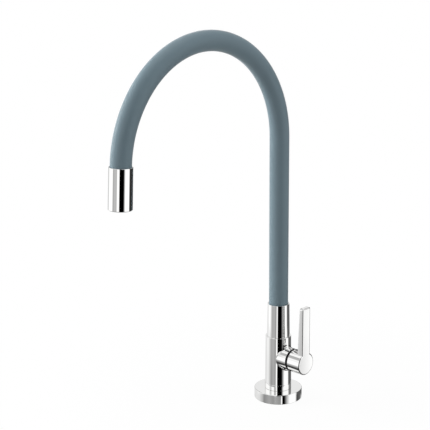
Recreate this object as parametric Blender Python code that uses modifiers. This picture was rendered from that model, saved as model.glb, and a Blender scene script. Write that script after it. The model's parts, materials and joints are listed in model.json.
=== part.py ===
"""Kitchen tap for cold water, with a quarter-turn side lever and a hand-bent gooseneck spout.

Metres, +Z up. The origin is the centre of the flange's underside, on the worktop. The spout
reaches towards -Y, and the lever stands on the +X side. Radii and lengths are named once below,
and every seat, bore and stack is worked out from them.
"""

import math

import bmesh
import bpy
from mathutils import Vector

MM = 0.001

# Fits and fineness
GAP = 0.3 * MM
OVERRUN = 2 * MM
MERGE = 0.01 * MM
SEAM = 0.002 * MM
SHOWN_STEPS = 36
CLAMP_STEPS = 24
HIDDEN_STEPS = 16
SECTION_SIDES = 6
EDGE_STEPS = 2
SHARP_ANGLE = math.radians(32)

# Flange, its seal and the foot ring
FLANGE_RADIUS = 25.4 * MM
FLANGE_HEIGHT = 10.4 * MM
FLANGE_EDGE = 0.9 * MM
FLANGE_FOOT_EDGE = 0.4 * MM
DECK_SEAL_INSET = 2.7 * MM
DECK_SEAL_WIDTH = 4.0 * MM
DECK_SEAL_HEIGHT = 1.9 * MM
FOOT_STEP = 0.2 * MM
FOOT_HEIGHT = 5.4 * MM
FOOT_EDGE = 0.5 * MM

# Body and boss
BODY_RIM_WALL = 1.65 * MM
BODY_TAPER = 0.45 * MM
BODY_EDGE = 0.45 * MM
WEB_BELOW_VALVE = 6.6 * MM
WEB_ABOVE_VALVE = 2.5 * MM
BOSS_STEP = 0.15 * MM
BOSS_EDGE = 0.35 * MM
WATERWAY_RADIUS = 2.6 * MM
INLET_WAY_OFFSET = 6.0 * MM
SEAT_PORT_RADIUS = 3.3 * MM

# Inlet shank and the clamp under the worktop
SHANK_RADIUS = 10.48 * MM
SHANK_BORE_RADIUS = 7.5 * MM
SHANK_BELOW = 48.0 * MM
SHANK_EDGE = 0.8 * MM
SHANK_SOCKET_DEPTH = 15.2 * MM
INLET_GASKET_HEIGHT = 1.2 * MM
WORKTOP = 18.0 * MM
CLAMP_RADIUS = 19.0 * MM
RUBBER_WASHER_HEIGHT = 3.0 * MM
STEEL_WASHER_HEIGHT = 1.5 * MM
BACKNUT_ACROSS_FLATS = 27.0 * MM
BACKNUT_HEIGHT = 8.0 * MM
NUT_EDGE = 1.2 * MM

# Quarter-turn valve, stacked along the boss from its seat outwards
VALVE_SEAT = 3.0 * MM
VALVE_RADIUS = 8.0 * MM
VALVE_WALL = 1.3 * MM
SEAT_SEAL_HEIGHT = 1.5 * MM
DISC_HEIGHT = 2.5 * MM
DISC_PORT_RADIUS = 1.6 * MM
DISC_RIM = 1.4 * MM
SPINDLE_FOOT_HEIGHT = 2.5 * MM
STEM_RADIUS = 4.2 * MM
VALVE_HEX_ACROSS_FLATS = 17.0 * MM
VALVE_HEX_HEIGHT = 4.5 * MM
VALVE_NOSE_RADIUS = 6.2 * MM
VALVE_NOSE_HEIGHT = 1.7 * MM
VALVE_WINDOW_RADIUS = 2.0 * MM
VALVE_ORING_SECTION = 0.6 * MM
VALVE_ORING_RISE = 3.5 * MM
VALVE_ORING_SETBACK = 3.0 * MM
STEM_ORING_SECTION = 0.5 * MM
STEM_ORING_RISE = 4.0 * MM
STEM_CLIP_HEIGHT = 0.8 * MM
STEM_CLIP_DEPTH = 1.0 * MM
STEM_CLIP_WIDTH = 2.6 * MM
STEM_CLIP_OPENING = 3.4 * MM
SPLINE_TEETH = 16
SPLINE_RADIUS = 4.0 * MM
SPLINE_DEPTH = 0.5 * MM
SPLINE_LENGTH = 7.8 * MM

# Lever
BOSS_RING_WIDTH = 1.5 * MM
BOSS_RING_STEP = 0.4 * MM
LEVER_FACE = 2.9 * MM
LEVER_RIM = 1.0 * MM
LEVER_BACK_EDGE = 0.3 * MM
LEVER_WALL = 1.885 * MM
BLADE_LENGTH = 62.0 * MM
BLADE_WIDTH = 11.6 * MM
BLADE_TIP_WIDTH = 11.2 * MM
BLADE_DEPTH = 7.2 * MM
BLADE_TIP_DEPTH = 4.6 * MM
BLADE_CORNER = 2.2 * MM
BLADE_EDGE = 0.45 * MM
CORNER_STEPS = 4
LEVER_SCREW_RADIUS = 2.2 * MM
LEVER_SCREW_LENGTH = 5.6 * MM
LEVER_SCREW_HEX = 2.5 * MM
LEVER_SCREW_HEX_DEPTH = 2.4 * MM

# Swivel joint and collar
SPIGOT_NECK_WALL = 1.18 * MM
SPIGOT_STEP = 1.0 * MM
SPIGOT_WEB = 3.0 * MM
SPIGOT_EDGE = 0.5 * MM
SWIVEL_LAND = 1.6 * MM
SWIVEL_ORING_SECTION = 0.75 * MM
SWIVEL_ORING_RISE = 2.3 * MM
SWIVEL_ORING_RIB = 1.0 * MM
SWIVEL_CLIP_RIB = 1.05 * MM
SWIVEL_CLIP_HEIGHT = 1.1 * MM
SWIVEL_CLIP_GRIP = 0.9 * MM
SWIVEL_CLIP_OPENING = 6.0 * MM
SLIDE_RING_WIDTH = 1.2 * MM
SLIDE_RING_HEIGHT = 0.8 * MM
COLLAR_WALL = 1.12 * MM
COLLAR_TAPER = 0.52 * MM
COLLAR_LENGTH = 35.5 * MM
COLLAR_EDGE = 0.35 * MM
COLLAR_SEAT = 2.0 * MM
COLLAR_GRIP = 16.3 * MM

# Spout: sleeve over gooseneck tube over water hose
SLEEVE_RADIUS = 10.12 * MM
SLEEVE_WALL = 2.2 * MM
GOOSENECK_WALL = 1.6 * MM
HOSE_WALL = 1.9 * MM
GOOSENECK_SOCKET = 12.0 * MM
RISER_TOP = 284.2 * MM
ARCH_RADIUS = 109.0 * MM
ARCH_SWEEP = math.radians(176.9)
ARCH_STEPS = 24
FLEX_BELOW_ARCH = 22.2 * MM
FLEX_RANGE = math.radians(20)
SLEEVE_BEVEL_STEPS = 7
TUBE_BEVEL_STEPS = 3
HOSE_BEVEL_STEPS = 2
HOSE_BORE_BEVEL_STEPS = 1
HOSE_TAIL = 0.7 * MM
FERRULE_WALL = 0.9 * MM
FERRULE_LENGTH = 6.0 * MM

# Outlet head
HEAD_WALL = 0.83 * MM
HEAD_TAPER = 0.15 * MM
HEAD_FOOT_WALL = 1.2 * MM
HEAD_EDGE = 0.35 * MM
HEAD_GRIP = 12.0 * MM
NIPPLE_THREAD_LENGTH = 11.7 * MM
NIPPLE_FLANGE_HEIGHT = 5.6 * MM
FERRULE_INSET = 0.6 * MM
NIPPLE_ORING_SECTION = 0.7 * MM
AERATOR_WASHER_HEIGHT = 1.4 * MM
AERATOR_WASHER_BORE = 6.8 * MM
AERATOR_HEIGHT = 7.7 * MM
AERATOR_WALL = 1.3 * MM
AERATOR_LIP = 1.0 * MM
AERATOR_RECESS = 0.4 * MM
REGULATOR_HEIGHT = 1.6 * MM
REGULATOR_HOLE_RADIUS = 0.55 * MM
REGULATOR_HOLES = 10
REGULATOR_CIRCLE = 5.4 * MM
SCREEN_HEIGHT = 1.4 * MM
SCREEN_RIM = 0.5 * MM
SCREEN_BAR = 0.5 * MM
SCREEN_RINGS = 3
KEY_NOTCH_WIDTH = 2.2 * MM
KEY_NOTCH_DEPTH = 0.9 * MM

# Radii that follow from the sizes above, from the water hose outwards
SLEEVE_BORE_RADIUS = SLEEVE_RADIUS - SLEEVE_WALL
GOOSENECK_RADIUS = SLEEVE_BORE_RADIUS - GAP
GOOSENECK_BORE_RADIUS = GOOSENECK_RADIUS - GOOSENECK_WALL
HOSE_RADIUS = GOOSENECK_BORE_RADIUS - GAP
HOSE_BORE_RADIUS = HOSE_RADIUS - HOSE_WALL
SLEEVE_SOCKET_RADIUS = SLEEVE_RADIUS + GAP
GOOSENECK_SOCKET_RADIUS = GOOSENECK_RADIUS + GAP
HOSE_WAY_RADIUS = HOSE_RADIUS + GAP
FERRULE_RADIUS = HOSE_WAY_RADIUS + FERRULE_WALL
FERRULE_BORE_RADIUS = FERRULE_RADIUS + GAP
SPIGOT_NECK_RADIUS = GOOSENECK_SOCKET_RADIUS + SPIGOT_NECK_WALL
SPIGOT_RADIUS = SPIGOT_NECK_RADIUS + SPIGOT_STEP
SWIVEL_BORE_RADIUS = SPIGOT_RADIUS + GAP
SWIVEL_CLIP_BORE = SPIGOT_RADIUS - SWIVEL_CLIP_GRIP
SWIVEL_CLIP_RADIUS = SWIVEL_BORE_RADIUS + SWIVEL_CLIP_GRIP
SLIDE_RING_RADIUS = SWIVEL_BORE_RADIUS + SLIDE_RING_WIDTH
SLIDE_SEAT_RADIUS = SLIDE_RING_RADIUS + GAP
COLLAR_TOP_RADIUS = SLEEVE_SOCKET_RADIUS + COLLAR_WALL
COLLAR_FOOT_RADIUS = COLLAR_TOP_RADIUS + COLLAR_TAPER
BODY_TOP_RADIUS = SLIDE_SEAT_RADIUS + BODY_RIM_WALL
BODY_FOOT_RADIUS = BODY_TOP_RADIUS + BODY_TAPER
FOOT_RADIUS = BODY_FOOT_RADIUS + FOOT_STEP
DECK_SEAL_RADIUS = FLANGE_RADIUS - DECK_SEAL_INSET
DECK_SEAL_BORE = DECK_SEAL_RADIUS - DECK_SEAL_WIDTH
SHANK_SOCKET_RADIUS = SHANK_RADIUS + GAP
VALVE_CHAMBER_RADIUS = VALVE_RADIUS + GAP
DISC_CHAMBER_RADIUS = VALVE_RADIUS - VALVE_WALL
DISC_RADIUS = DISC_CHAMBER_RADIUS - GAP
DISC_PORT_OFFSET = DISC_RADIUS - DISC_RIM - DISC_PORT_RADIUS
STEM_BORE_RADIUS = STEM_RADIUS + GAP
STEM_CLIP_FLOOR = STEM_RADIUS - STEM_CLIP_DEPTH
LEVER_CAVITY_RADIUS = VALVE_HEX_ACROSS_FLATS / 2 / math.cos(math.pi / 6) + GAP
LEVER_RADIUS = LEVER_CAVITY_RADIUS + LEVER_WALL
BOSS_RADIUS = LEVER_RADIUS - BOSS_STEP
BOSS_RING_RADIUS = LEVER_RADIUS - BOSS_RING_STEP
HEAD_TOP_RADIUS = SLEEVE_SOCKET_RADIUS + HEAD_WALL
HEAD_FOOT_RADIUS = HEAD_TOP_RADIUS + HEAD_TAPER
HEAD_CAVITY_RADIUS = HEAD_FOOT_RADIUS - HEAD_FOOT_WALL
HEAD_THREAD_RADIUS = SPIGOT_NECK_RADIUS + GAP
NIPPLE_FLANGE_RADIUS = HEAD_CAVITY_RADIUS - GAP
AERATOR_BORE_RADIUS = NIPPLE_FLANGE_RADIUS - AERATOR_WALL
INSERT_RADIUS = AERATOR_BORE_RADIUS - GAP
SCREEN_CELL = (INSERT_RADIUS - SCREEN_RIM + SCREEN_BAR / 2) / (SCREEN_RINGS + 1 / 2)

# Places along the boss, from the valve's seat outwards
SEAT_SEAL_BASE = VALVE_SEAT + GAP
FIXED_DISC_BASE = SEAT_SEAL_BASE + SEAT_SEAL_HEIGHT + GAP
TURNING_DISC_BASE = FIXED_DISC_BASE + DISC_HEIGHT + GAP
SPINDLE_BASE = TURNING_DISC_BASE + DISC_HEIGHT + GAP
DISC_CHAMBER_END = SPINDLE_BASE + SPINDLE_FOOT_HEIGHT + GAP
STEM_ORING_PLACE = DISC_CHAMBER_END + STEM_ORING_RISE
VALVE_ORING_PLACE = DISC_CHAMBER_END + VALVE_ORING_RISE
BOSS_REACH = VALVE_ORING_PLACE + VALVE_ORING_SETBACK
VALVE_HEX_BASE = BOSS_REACH + GAP
VALVE_NOSE_BASE = VALVE_HEX_BASE + VALVE_HEX_HEIGHT
VALVE_END = VALVE_NOSE_BASE + VALVE_NOSE_HEIGHT
STEM_CLIP_BASE = VALVE_END + GAP
SPLINE_BASE = STEM_CLIP_BASE + STEM_CLIP_HEIGHT + GAP
SPINDLE_END = SPLINE_BASE + SPLINE_LENGTH
BOSS_RING_BASE = BOSS_REACH + GAP
LEVER_BASE = BOSS_RING_BASE + BOSS_RING_WIDTH + GAP
LEVER_SOCKET_END = SPINDLE_END + GAP
LEVER_REACH = LEVER_SOCKET_END + LEVER_FACE
LEVER_SCREW_PLACE = SPLINE_BASE + SPLINE_LENGTH / 2
LEVER_SCREW_TIP = SPLINE_RADIUS + GAP

# Heights, from the flange up to the riser and down to the clamp
FOOT_BASE = FLANGE_HEIGHT + GAP
BODY_BASE = FOOT_BASE + FOOT_HEIGHT + GAP
SHANK_SOCKET_TOP = BODY_BASE + SHANK_SOCKET_DEPTH
INLET_GASKET_BASE = SHANK_SOCKET_TOP - GAP - INLET_GASKET_HEIGHT
SHANK_TOP = INLET_GASKET_BASE - GAP
RUBBER_WASHER_TOP = -WORKTOP - GAP
STEEL_WASHER_TOP = RUBBER_WASHER_TOP - RUBBER_WASHER_HEIGHT - GAP
BACKNUT_TOP = STEEL_WASHER_TOP - STEEL_WASHER_HEIGHT - GAP
LEVER_HEIGHT = SHANK_SOCKET_TOP + WEB_BELOW_VALVE + VALVE_CHAMBER_RADIUS
SWIVEL_FLOOR = LEVER_HEIGHT + VALVE_CHAMBER_RADIUS + WEB_ABOVE_VALVE
SPIGOT_BASE = SWIVEL_FLOOR + GAP
SWIVEL_ORING_HALF = SWIVEL_ORING_SECTION + GAP
SWIVEL_ORING_LOW = SPIGOT_BASE + SWIVEL_ORING_RISE
SWIVEL_ORING_HIGH = SWIVEL_ORING_LOW + 2 * SWIVEL_ORING_HALF + SWIVEL_ORING_RIB
SWIVEL_CLIP_BASE = SWIVEL_ORING_HIGH + SWIVEL_ORING_HALF + SWIVEL_CLIP_RIB + GAP
SWIVEL_CLIP_CEILING = SWIVEL_CLIP_BASE + SWIVEL_CLIP_HEIGHT + GAP
SLIDE_SEAT = SWIVEL_CLIP_CEILING + SWIVEL_LAND
BODY_TOP = SLIDE_SEAT + SLIDE_RING_HEIGHT + GAP
COLLAR_BASE = BODY_TOP + GAP
COLLAR_TOP = COLLAR_BASE + COLLAR_LENGTH
SPIGOT_SHOULDER = COLLAR_BASE + COLLAR_SEAT
SPIGOT_TOP = SPIGOT_SHOULDER + COLLAR_GRIP
SLEEVE_BASE = SPIGOT_TOP + GAP
GOOSENECK_FLOOR = SPIGOT_TOP - GOOSENECK_SOCKET
SPIGOT_WEB_FOOT = GOOSENECK_FLOOR - SPIGOT_WEB
FERRULE_REACH = GAP + FERRULE_LENGTH
HOSE_BASE = SPIGOT_WEB_FOOT - FERRULE_REACH - HOSE_TAIL
FLEX_HEIGHT = RISER_TOP - FLEX_BELOW_ARCH
# Room for the gooseneck's rims to pass each other at the ends of the flex range
FLEX_GAP = 2 * (GOOSENECK_RADIUS * math.sin(FLEX_RANGE) + GAP) / (1 + math.cos(FLEX_RANGE))

# Depths below the head's top rim, along the head's own axis
NIPPLE_TOP = HEAD_GRIP + GAP
NIPPLE_FLANGE_TOP = NIPPLE_TOP + NIPPLE_THREAD_LENGTH
NIPPLE_FOOT = NIPPLE_FLANGE_TOP + NIPPLE_FLANGE_HEIGHT
NIPPLE_WEB_FOOT = NIPPLE_FOOT - FERRULE_INSET - FERRULE_REACH
NIPPLE_SOCKET_FLOOR = NIPPLE_WEB_FOOT - SPIGOT_WEB
NIPPLE_ORING_PLACE = (NIPPLE_FLANGE_TOP + NIPPLE_FOOT) / 2
HEAD_CAVITY_TOP = NIPPLE_FLANGE_TOP - GAP
AERATOR_WASHER_TOP = NIPPLE_FOOT + GAP
AERATOR_TOP = AERATOR_WASHER_TOP + AERATOR_WASHER_HEIGHT + GAP
AERATOR_FOOT = AERATOR_TOP + AERATOR_HEIGHT
HEAD_LENGTH = AERATOR_FOOT + AERATOR_RECESS
SCREEN_FOOT = AERATOR_FOOT - AERATOR_LIP - GAP
REGULATOR_TOP = AERATOR_TOP + GAP

# Finishes: colour, metallic, roughness
FINISHES = {
    "chrome": ((0.80, 0.81, 0.82), 1.0, 0.06),
    "brass": ((0.71, 0.53, 0.28), 1.0, 0.32),
    "stainless_steel": ((0.56, 0.56, 0.55), 1.0, 0.30),
    "silicone": ((0.135, 0.182, 0.205), 0.0, 0.55),
    "black_rubber": ((0.015, 0.015, 0.016), 0.0, 0.65),
    "white_plastic": ((0.78, 0.77, 0.73), 0.0, 0.45),
    "ceramic": ((0.86, 0.84, 0.80), 0.0, 0.18),
    "hose_rubber": ((0.05, 0.07, 0.09), 0.0, 0.50),
}


def clear_scene():
    for obj in list(bpy.data.objects):
        bpy.data.objects.remove(obj, do_unlink=True)
    for collection in list(bpy.data.collections):
        bpy.data.collections.remove(collection)


def new_collection(name):
    collection = bpy.data.collections.new(name)
    bpy.context.scene.collection.children.link(collection)
    return collection


clear_scene()
PARTS = new_collection("kitchen_tap")
CUTTERS = new_collection("cutters")
AXES = new_collection("axes")


def material(finish):
    """The Principled material of a finish, made on its first use."""
    found = bpy.data.materials.get(finish)
    if found:
        return found
    colour, metallic, roughness = FINISHES[finish]
    made = bpy.data.materials.new(finish)
    made.use_nodes = True
    shader = made.node_tree.nodes["Principled BSDF"]
    shader.inputs["Base Color"].default_value = (*colour, 1)
    shader.inputs["Metallic"].default_value = metallic
    shader.inputs["Roughness"].default_value = roughness
    made.diffuse_color = (*colour, 1)
    return made


def axis_empty(name, place, tilt=(0, 0, 0), parent=None):
    """An empty on a joint's axis or in a frame that pieces are placed in."""
    empty = bpy.data.objects.new(name, None)
    AXES.objects.link(empty)
    empty.location = place
    empty.rotation_euler = tilt
    empty.parent = parent
    return empty


def placed(name, mesh, finish, parent, at=0):
    """An object of the mesh on its parent's Z axis. Without a finish it is a cutter."""
    obj = bpy.data.objects.new(name, mesh)
    (PARTS if finish else CUTTERS).objects.link(obj)
    obj.parent = parent
    obj.location = (0, 0, at)
    if finish:
        mesh.materials.append(material(finish))
    else:
        obj.hide_render = True
        obj.display_type = "WIRE"
    return obj


def turned(name, profile, finish, parent, steps=HIDDEN_STEPS):
    """A piece turned about its parent's Z axis, from (radius, height) points that run down its
    outer side and then up its bore. A profile that starts on the axis makes a solid piece."""
    count = len(profile)
    edges = [(i, i + 1) for i in range(count - 1)]
    if profile[0][0] > 0:
        edges.append((count - 1, 0))
    mesh = bpy.data.meshes.new(name)
    mesh.from_pydata([(radius, 0, height) for radius, height in profile], edges, [])
    obj = placed(name, mesh, finish, parent)
    screw = obj.modifiers.new("Turn", "SCREW")
    screw.steps = steps
    screw.render_steps = steps
    screw.use_merge_vertices = True
    screw.merge_threshold = MERGE
    return obj


def cylinder(name, radius, low, high, finish, parent, steps=HIDDEN_STEPS):
    return turned(name, [(0, high), (radius, high), (radius, low), (0, low)], finish, parent, steps)


def ring(name, outer, bore, low, high, finish, parent, steps=HIDDEN_STEPS):
    profile = [(outer, high), (outer, low), (bore, low), (bore, high)]
    return turned(name, profile, finish, parent, steps)


def oring(name, bore, section, height, parent, finish="black_rubber"):
    """An O-ring that seals against a bore, in the groove that oring_floor gives."""
    middle = bore - GAP - section
    turn = 2 * math.pi / SECTION_SIDES
    profile = [
        (middle + section * math.cos(-i * turn), height + section * math.sin(-i * turn))
        for i in range(SECTION_SIDES)
    ]
    return turned(name, profile, finish, parent)


def oring_floor(bore, section):
    return bore - 2 * GAP - 2 * section


def groove(outer, floor, middle, half_width):
    """Profile points of a square groove, from its top edge down."""
    top = middle + half_width
    foot = middle - half_width
    return [(outer, top), (floor, top), (floor, foot), (outer, foot)]


def arc(centre, radius, start, end, steps):
    """Points of an arc in the profile's plane."""
    return [
        (
            centre[0] + radius * math.cos(start + (end - start) * i / steps),
            centre[1] + radius * math.sin(start + (end - start) * i / steps),
        )
        for i in range(steps + 1)
    ]


def prism(name, outline, low, high, finish, parent):
    """A flat outline of (x, y) points extruded along its parent's Z axis."""
    shape = bmesh.new()
    face = shape.faces.new([shape.verts.new((x, y, low)) for x, y in outline])
    shape.normal_update()
    if face.normal.z > 0:
        face.normal_flip()
    grown = bmesh.ops.extrude_face_region(shape, geom=[face])
    raised = [item for item in grown["geom"] if isinstance(item, bmesh.types.BMVert)]
    bmesh.ops.translate(shape, verts=raised, vec=(0, 0, high - low))
    bmesh.ops.recalc_face_normals(shape, faces=shape.faces)
    mesh = bpy.data.meshes.new(name)
    shape.to_mesh(mesh)
    shape.free()
    return placed(name, mesh, finish, parent)


def hexagon(across_flats):
    corner = across_flats / 2 / math.cos(math.pi / 6)
    return [(corner * math.cos(i * math.pi / 3), corner * math.sin(i * math.pi / 3)) for i in range(6)]


def combine(obj, other, operation="DIFFERENCE"):
    """Cuts or joins another object, then welds the points that fall together at the seam."""
    change = obj.modifiers.new(operation.title() + " " + other.name, "BOOLEAN")
    change.operation = operation
    change.solver = "EXACT"
    change.object = other
    weld = obj.modifiers.new("Weld " + other.name, "WELD")
    weld.merge_threshold = SEAM
    return obj


def side_hole(name, radius, low, high, across, parent, steps=HIDDEN_STEPS):
    """A cutter parallel to the parent's Z axis, moved sideways by (x, y)."""
    cutter = cylinder(name, radius, low, high, None, parent, steps)
    cutter.location = (*across, 0)
    cutter.rotation_euler = (0, 0, math.pi / steps)
    return cutter


def cross_hole(name, radius, start, end, height, parent, steps=HIDDEN_STEPS):
    """A cutter along the parent's X axis, from x = start to x = end at the height."""
    cutter = cylinder(name, radius, start, end, None, parent, steps)
    cutter.location = (0, 0, height)
    cutter.rotation_mode = "ZYX"
    cutter.rotation_euler = (0, math.pi / 2, math.pi / steps)
    return cutter


def slot_box(name, size, centre, parent):
    """A box cutter."""
    shape = bmesh.new()
    bmesh.ops.create_cube(shape, size=1)
    bmesh.ops.scale(shape, vec=size, verts=shape.verts)
    mesh = bpy.data.meshes.new(name)
    shape.to_mesh(mesh)
    shape.free()
    cutter = placed(name, mesh, None, parent)
    cutter.location = centre
    return cutter


def joined_cutter(name, cutters, parent):
    """Several cutters that don't touch, as one mesh."""
    bpy.context.view_layer.update()
    graph = bpy.context.evaluated_depsgraph_get()
    home = parent.matrix_world.inverted()
    shape = bmesh.new()
    for cutter in cutters:
        piece = bpy.data.meshes.new_from_object(cutter.evaluated_get(graph))
        piece.transform(home @ cutter.matrix_world)
        shape.from_mesh(piece)
        bpy.data.meshes.remove(piece)
        bpy.data.objects.remove(cutter, do_unlink=True)
    mesh = bpy.data.meshes.new(name)
    shape.to_mesh(mesh)
    shape.free()
    return placed(name, mesh, None, parent)


def arch_point(angle):
    """A point of the spout's arch, and its direction there, at an angle past the riser's top."""
    place = Vector((0, ARCH_RADIUS * (math.cos(angle) - 1), RISER_TOP + ARCH_RADIUS * math.sin(angle)))
    return place, Vector((0, -math.sin(angle), math.cos(angle)))


def spout_route(base, depth):
    """Points from a height on the riser, round the arch, to a depth inside the outlet head."""
    points = [Vector((0, 0, base))]
    for i in range(ARCH_STEPS + 1):
        place, direction = arch_point(ARCH_SWEEP * i / ARCH_STEPS)
        points.append(place)
    points.append(place + depth * direction)
    return points


def tube(name, points, radius, bevel_steps, finish, parent):
    """A round bar along points given in world places, as a mesh with welded caps."""
    curve = bpy.data.curves.new(name, "CURVE")
    curve.dimensions = "3D"
    curve.bevel_depth = radius
    curve.bevel_resolution = bevel_steps
    curve.use_fill_caps = True
    spline = curve.splines.new("POLY")
    spline.points.add(len(points) - 1)
    for point, place in zip(spline.points, points):
        point.co = (*place, 1)
    guide = bpy.data.objects.new(name + "_guide", curve)
    CUTTERS.objects.link(guide)
    bpy.context.view_layer.update()
    graph = bpy.context.evaluated_depsgraph_get()
    mesh = bpy.data.meshes.new_from_object(guide.evaluated_get(graph))
    mesh.name = name
    shape = bmesh.new()
    shape.from_mesh(mesh)
    bmesh.ops.remove_doubles(shape, verts=shape.verts, dist=MERGE)
    bmesh.ops.recalc_face_normals(shape, faces=shape.faces)
    shape.to_mesh(mesh)
    shape.free()
    mesh.materials.clear()
    bpy.data.objects.remove(guide, do_unlink=True)
    bpy.data.curves.remove(curve)
    obj = placed(name, mesh, finish, parent)
    bpy.context.view_layer.update()
    mesh.transform(parent.matrix_world.inverted())
    obj.location = (0, 0, 0)
    return obj


def bored_tube(name, route, ends, radii, bevel_steps, finish, parent):
    """A tube along a route between two ends, with its bore cut through."""
    outer = tube(name, route(*ends), radii[0], bevel_steps[0], finish, parent)
    past = (ends[0] - OVERRUN, ends[1] + OVERRUN)
    bore = tube(name + "_bore", route(*past), radii[1], bevel_steps[1], None, parent)
    return combine(outer, bore)


def straight_route(low, high):
    return [Vector((0, 0, low)), Vector((0, 0, high))]


# Deck: flange, seal, foot ring and the clamp under the worktop


def make_deck(frame):
    bore = SHANK_RADIUS + GAP
    seal_top = DECK_SEAL_HEIGHT + GAP
    edge = arc(
        (FLANGE_RADIUS - FLANGE_EDGE, FLANGE_HEIGHT - FLANGE_EDGE), FLANGE_EDGE, math.pi / 2, 0, EDGE_STEPS
    )
    turned(
        "deck_flange",
        [(bore, FLANGE_HEIGHT), *edge]
        + [(FLANGE_RADIUS, FLANGE_FOOT_EDGE), (FLANGE_RADIUS - FLANGE_FOOT_EDGE, 0)]
        + [(DECK_SEAL_RADIUS + GAP, 0), (DECK_SEAL_RADIUS + GAP, seal_top)]
        + [(DECK_SEAL_BORE - GAP, seal_top), (DECK_SEAL_BORE - GAP, 0), (bore, 0)],
        "chrome",
        frame,
        SHOWN_STEPS,
    )
    ring(
        "deck_seal", DECK_SEAL_RADIUS, DECK_SEAL_BORE, 0, DECK_SEAL_HEIGHT, "black_rubber", frame,
        SHOWN_STEPS,
    )
    foot_top = FOOT_BASE + FOOT_HEIGHT
    turned(
        "foot_ring",
        [(bore, foot_top), (FOOT_RADIUS - FOOT_EDGE, foot_top), (FOOT_RADIUS, foot_top - FOOT_EDGE)]
        + [(FOOT_RADIUS, FOOT_BASE), (bore, FOOT_BASE)],
        "chrome",
        frame,
        SHOWN_STEPS,
    )
    foot = -SHANK_BELOW
    shank_edge = SHANK_RADIUS - SHANK_EDGE
    turned(
        "inlet_shank",
        [(SHANK_BORE_RADIUS, SHANK_TOP), (shank_edge, SHANK_TOP), (SHANK_RADIUS, SHANK_TOP - SHANK_EDGE)]
        + [(SHANK_RADIUS, foot + SHANK_EDGE), (shank_edge, foot), (SHANK_BORE_RADIUS, foot)],
        "brass",
        frame,
        CLAMP_STEPS,
    )
    gasket_top = INLET_GASKET_BASE + INLET_GASKET_HEIGHT
    ring(
        "inlet_gasket", SHANK_RADIUS, SHANK_BORE_RADIUS, INLET_GASKET_BASE, gasket_top, "black_rubber", frame
    )
    rubber_foot = RUBBER_WASHER_TOP - RUBBER_WASHER_HEIGHT
    ring(
        "rubber_washer", CLAMP_RADIUS, bore, rubber_foot, RUBBER_WASHER_TOP, "black_rubber", frame,
        CLAMP_STEPS,
    )
    steel_foot = STEEL_WASHER_TOP - STEEL_WASHER_HEIGHT
    ring(
        "steel_washer", CLAMP_RADIUS, bore, steel_foot, STEEL_WASHER_TOP, "stainless_steel", frame,
        CLAMP_STEPS,
    )
    make_backnut(frame, bore)


def make_backnut(frame, bore):
    """A hexagon nut with both faces chamfered by a turned shape."""
    foot = BACKNUT_TOP - BACKNUT_HEIGHT
    flat = BACKNUT_ACROSS_FLATS / 2
    corner = flat / math.cos(math.pi / 6)
    nut = prism("backnut", hexagon(BACKNUT_ACROSS_FLATS), foot, BACKNUT_TOP, "brass", frame)
    past = corner + OVERRUN
    drop = (past - flat) * NUT_EDGE / (corner - flat)
    chamfer = turned(
        "backnut_chamfer",
        [(0, BACKNUT_TOP + OVERRUN), (flat, BACKNUT_TOP + OVERRUN), (flat, BACKNUT_TOP)]
        + [(past, BACKNUT_TOP - drop), (past, foot + drop)]
        + [(flat, foot), (flat, foot - OVERRUN), (0, foot - OVERRUN)],
        None,
        frame,
        CLAMP_STEPS,
    )
    combine(nut, chamfer, "INTERSECT")
    hole = cylinder(
        "backnut_bore", bore, foot - OVERRUN, BACKNUT_TOP + OVERRUN, None, frame, CLAMP_STEPS
    )
    combine(nut, hole)


# Body, with its boss, sockets and waterways


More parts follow.
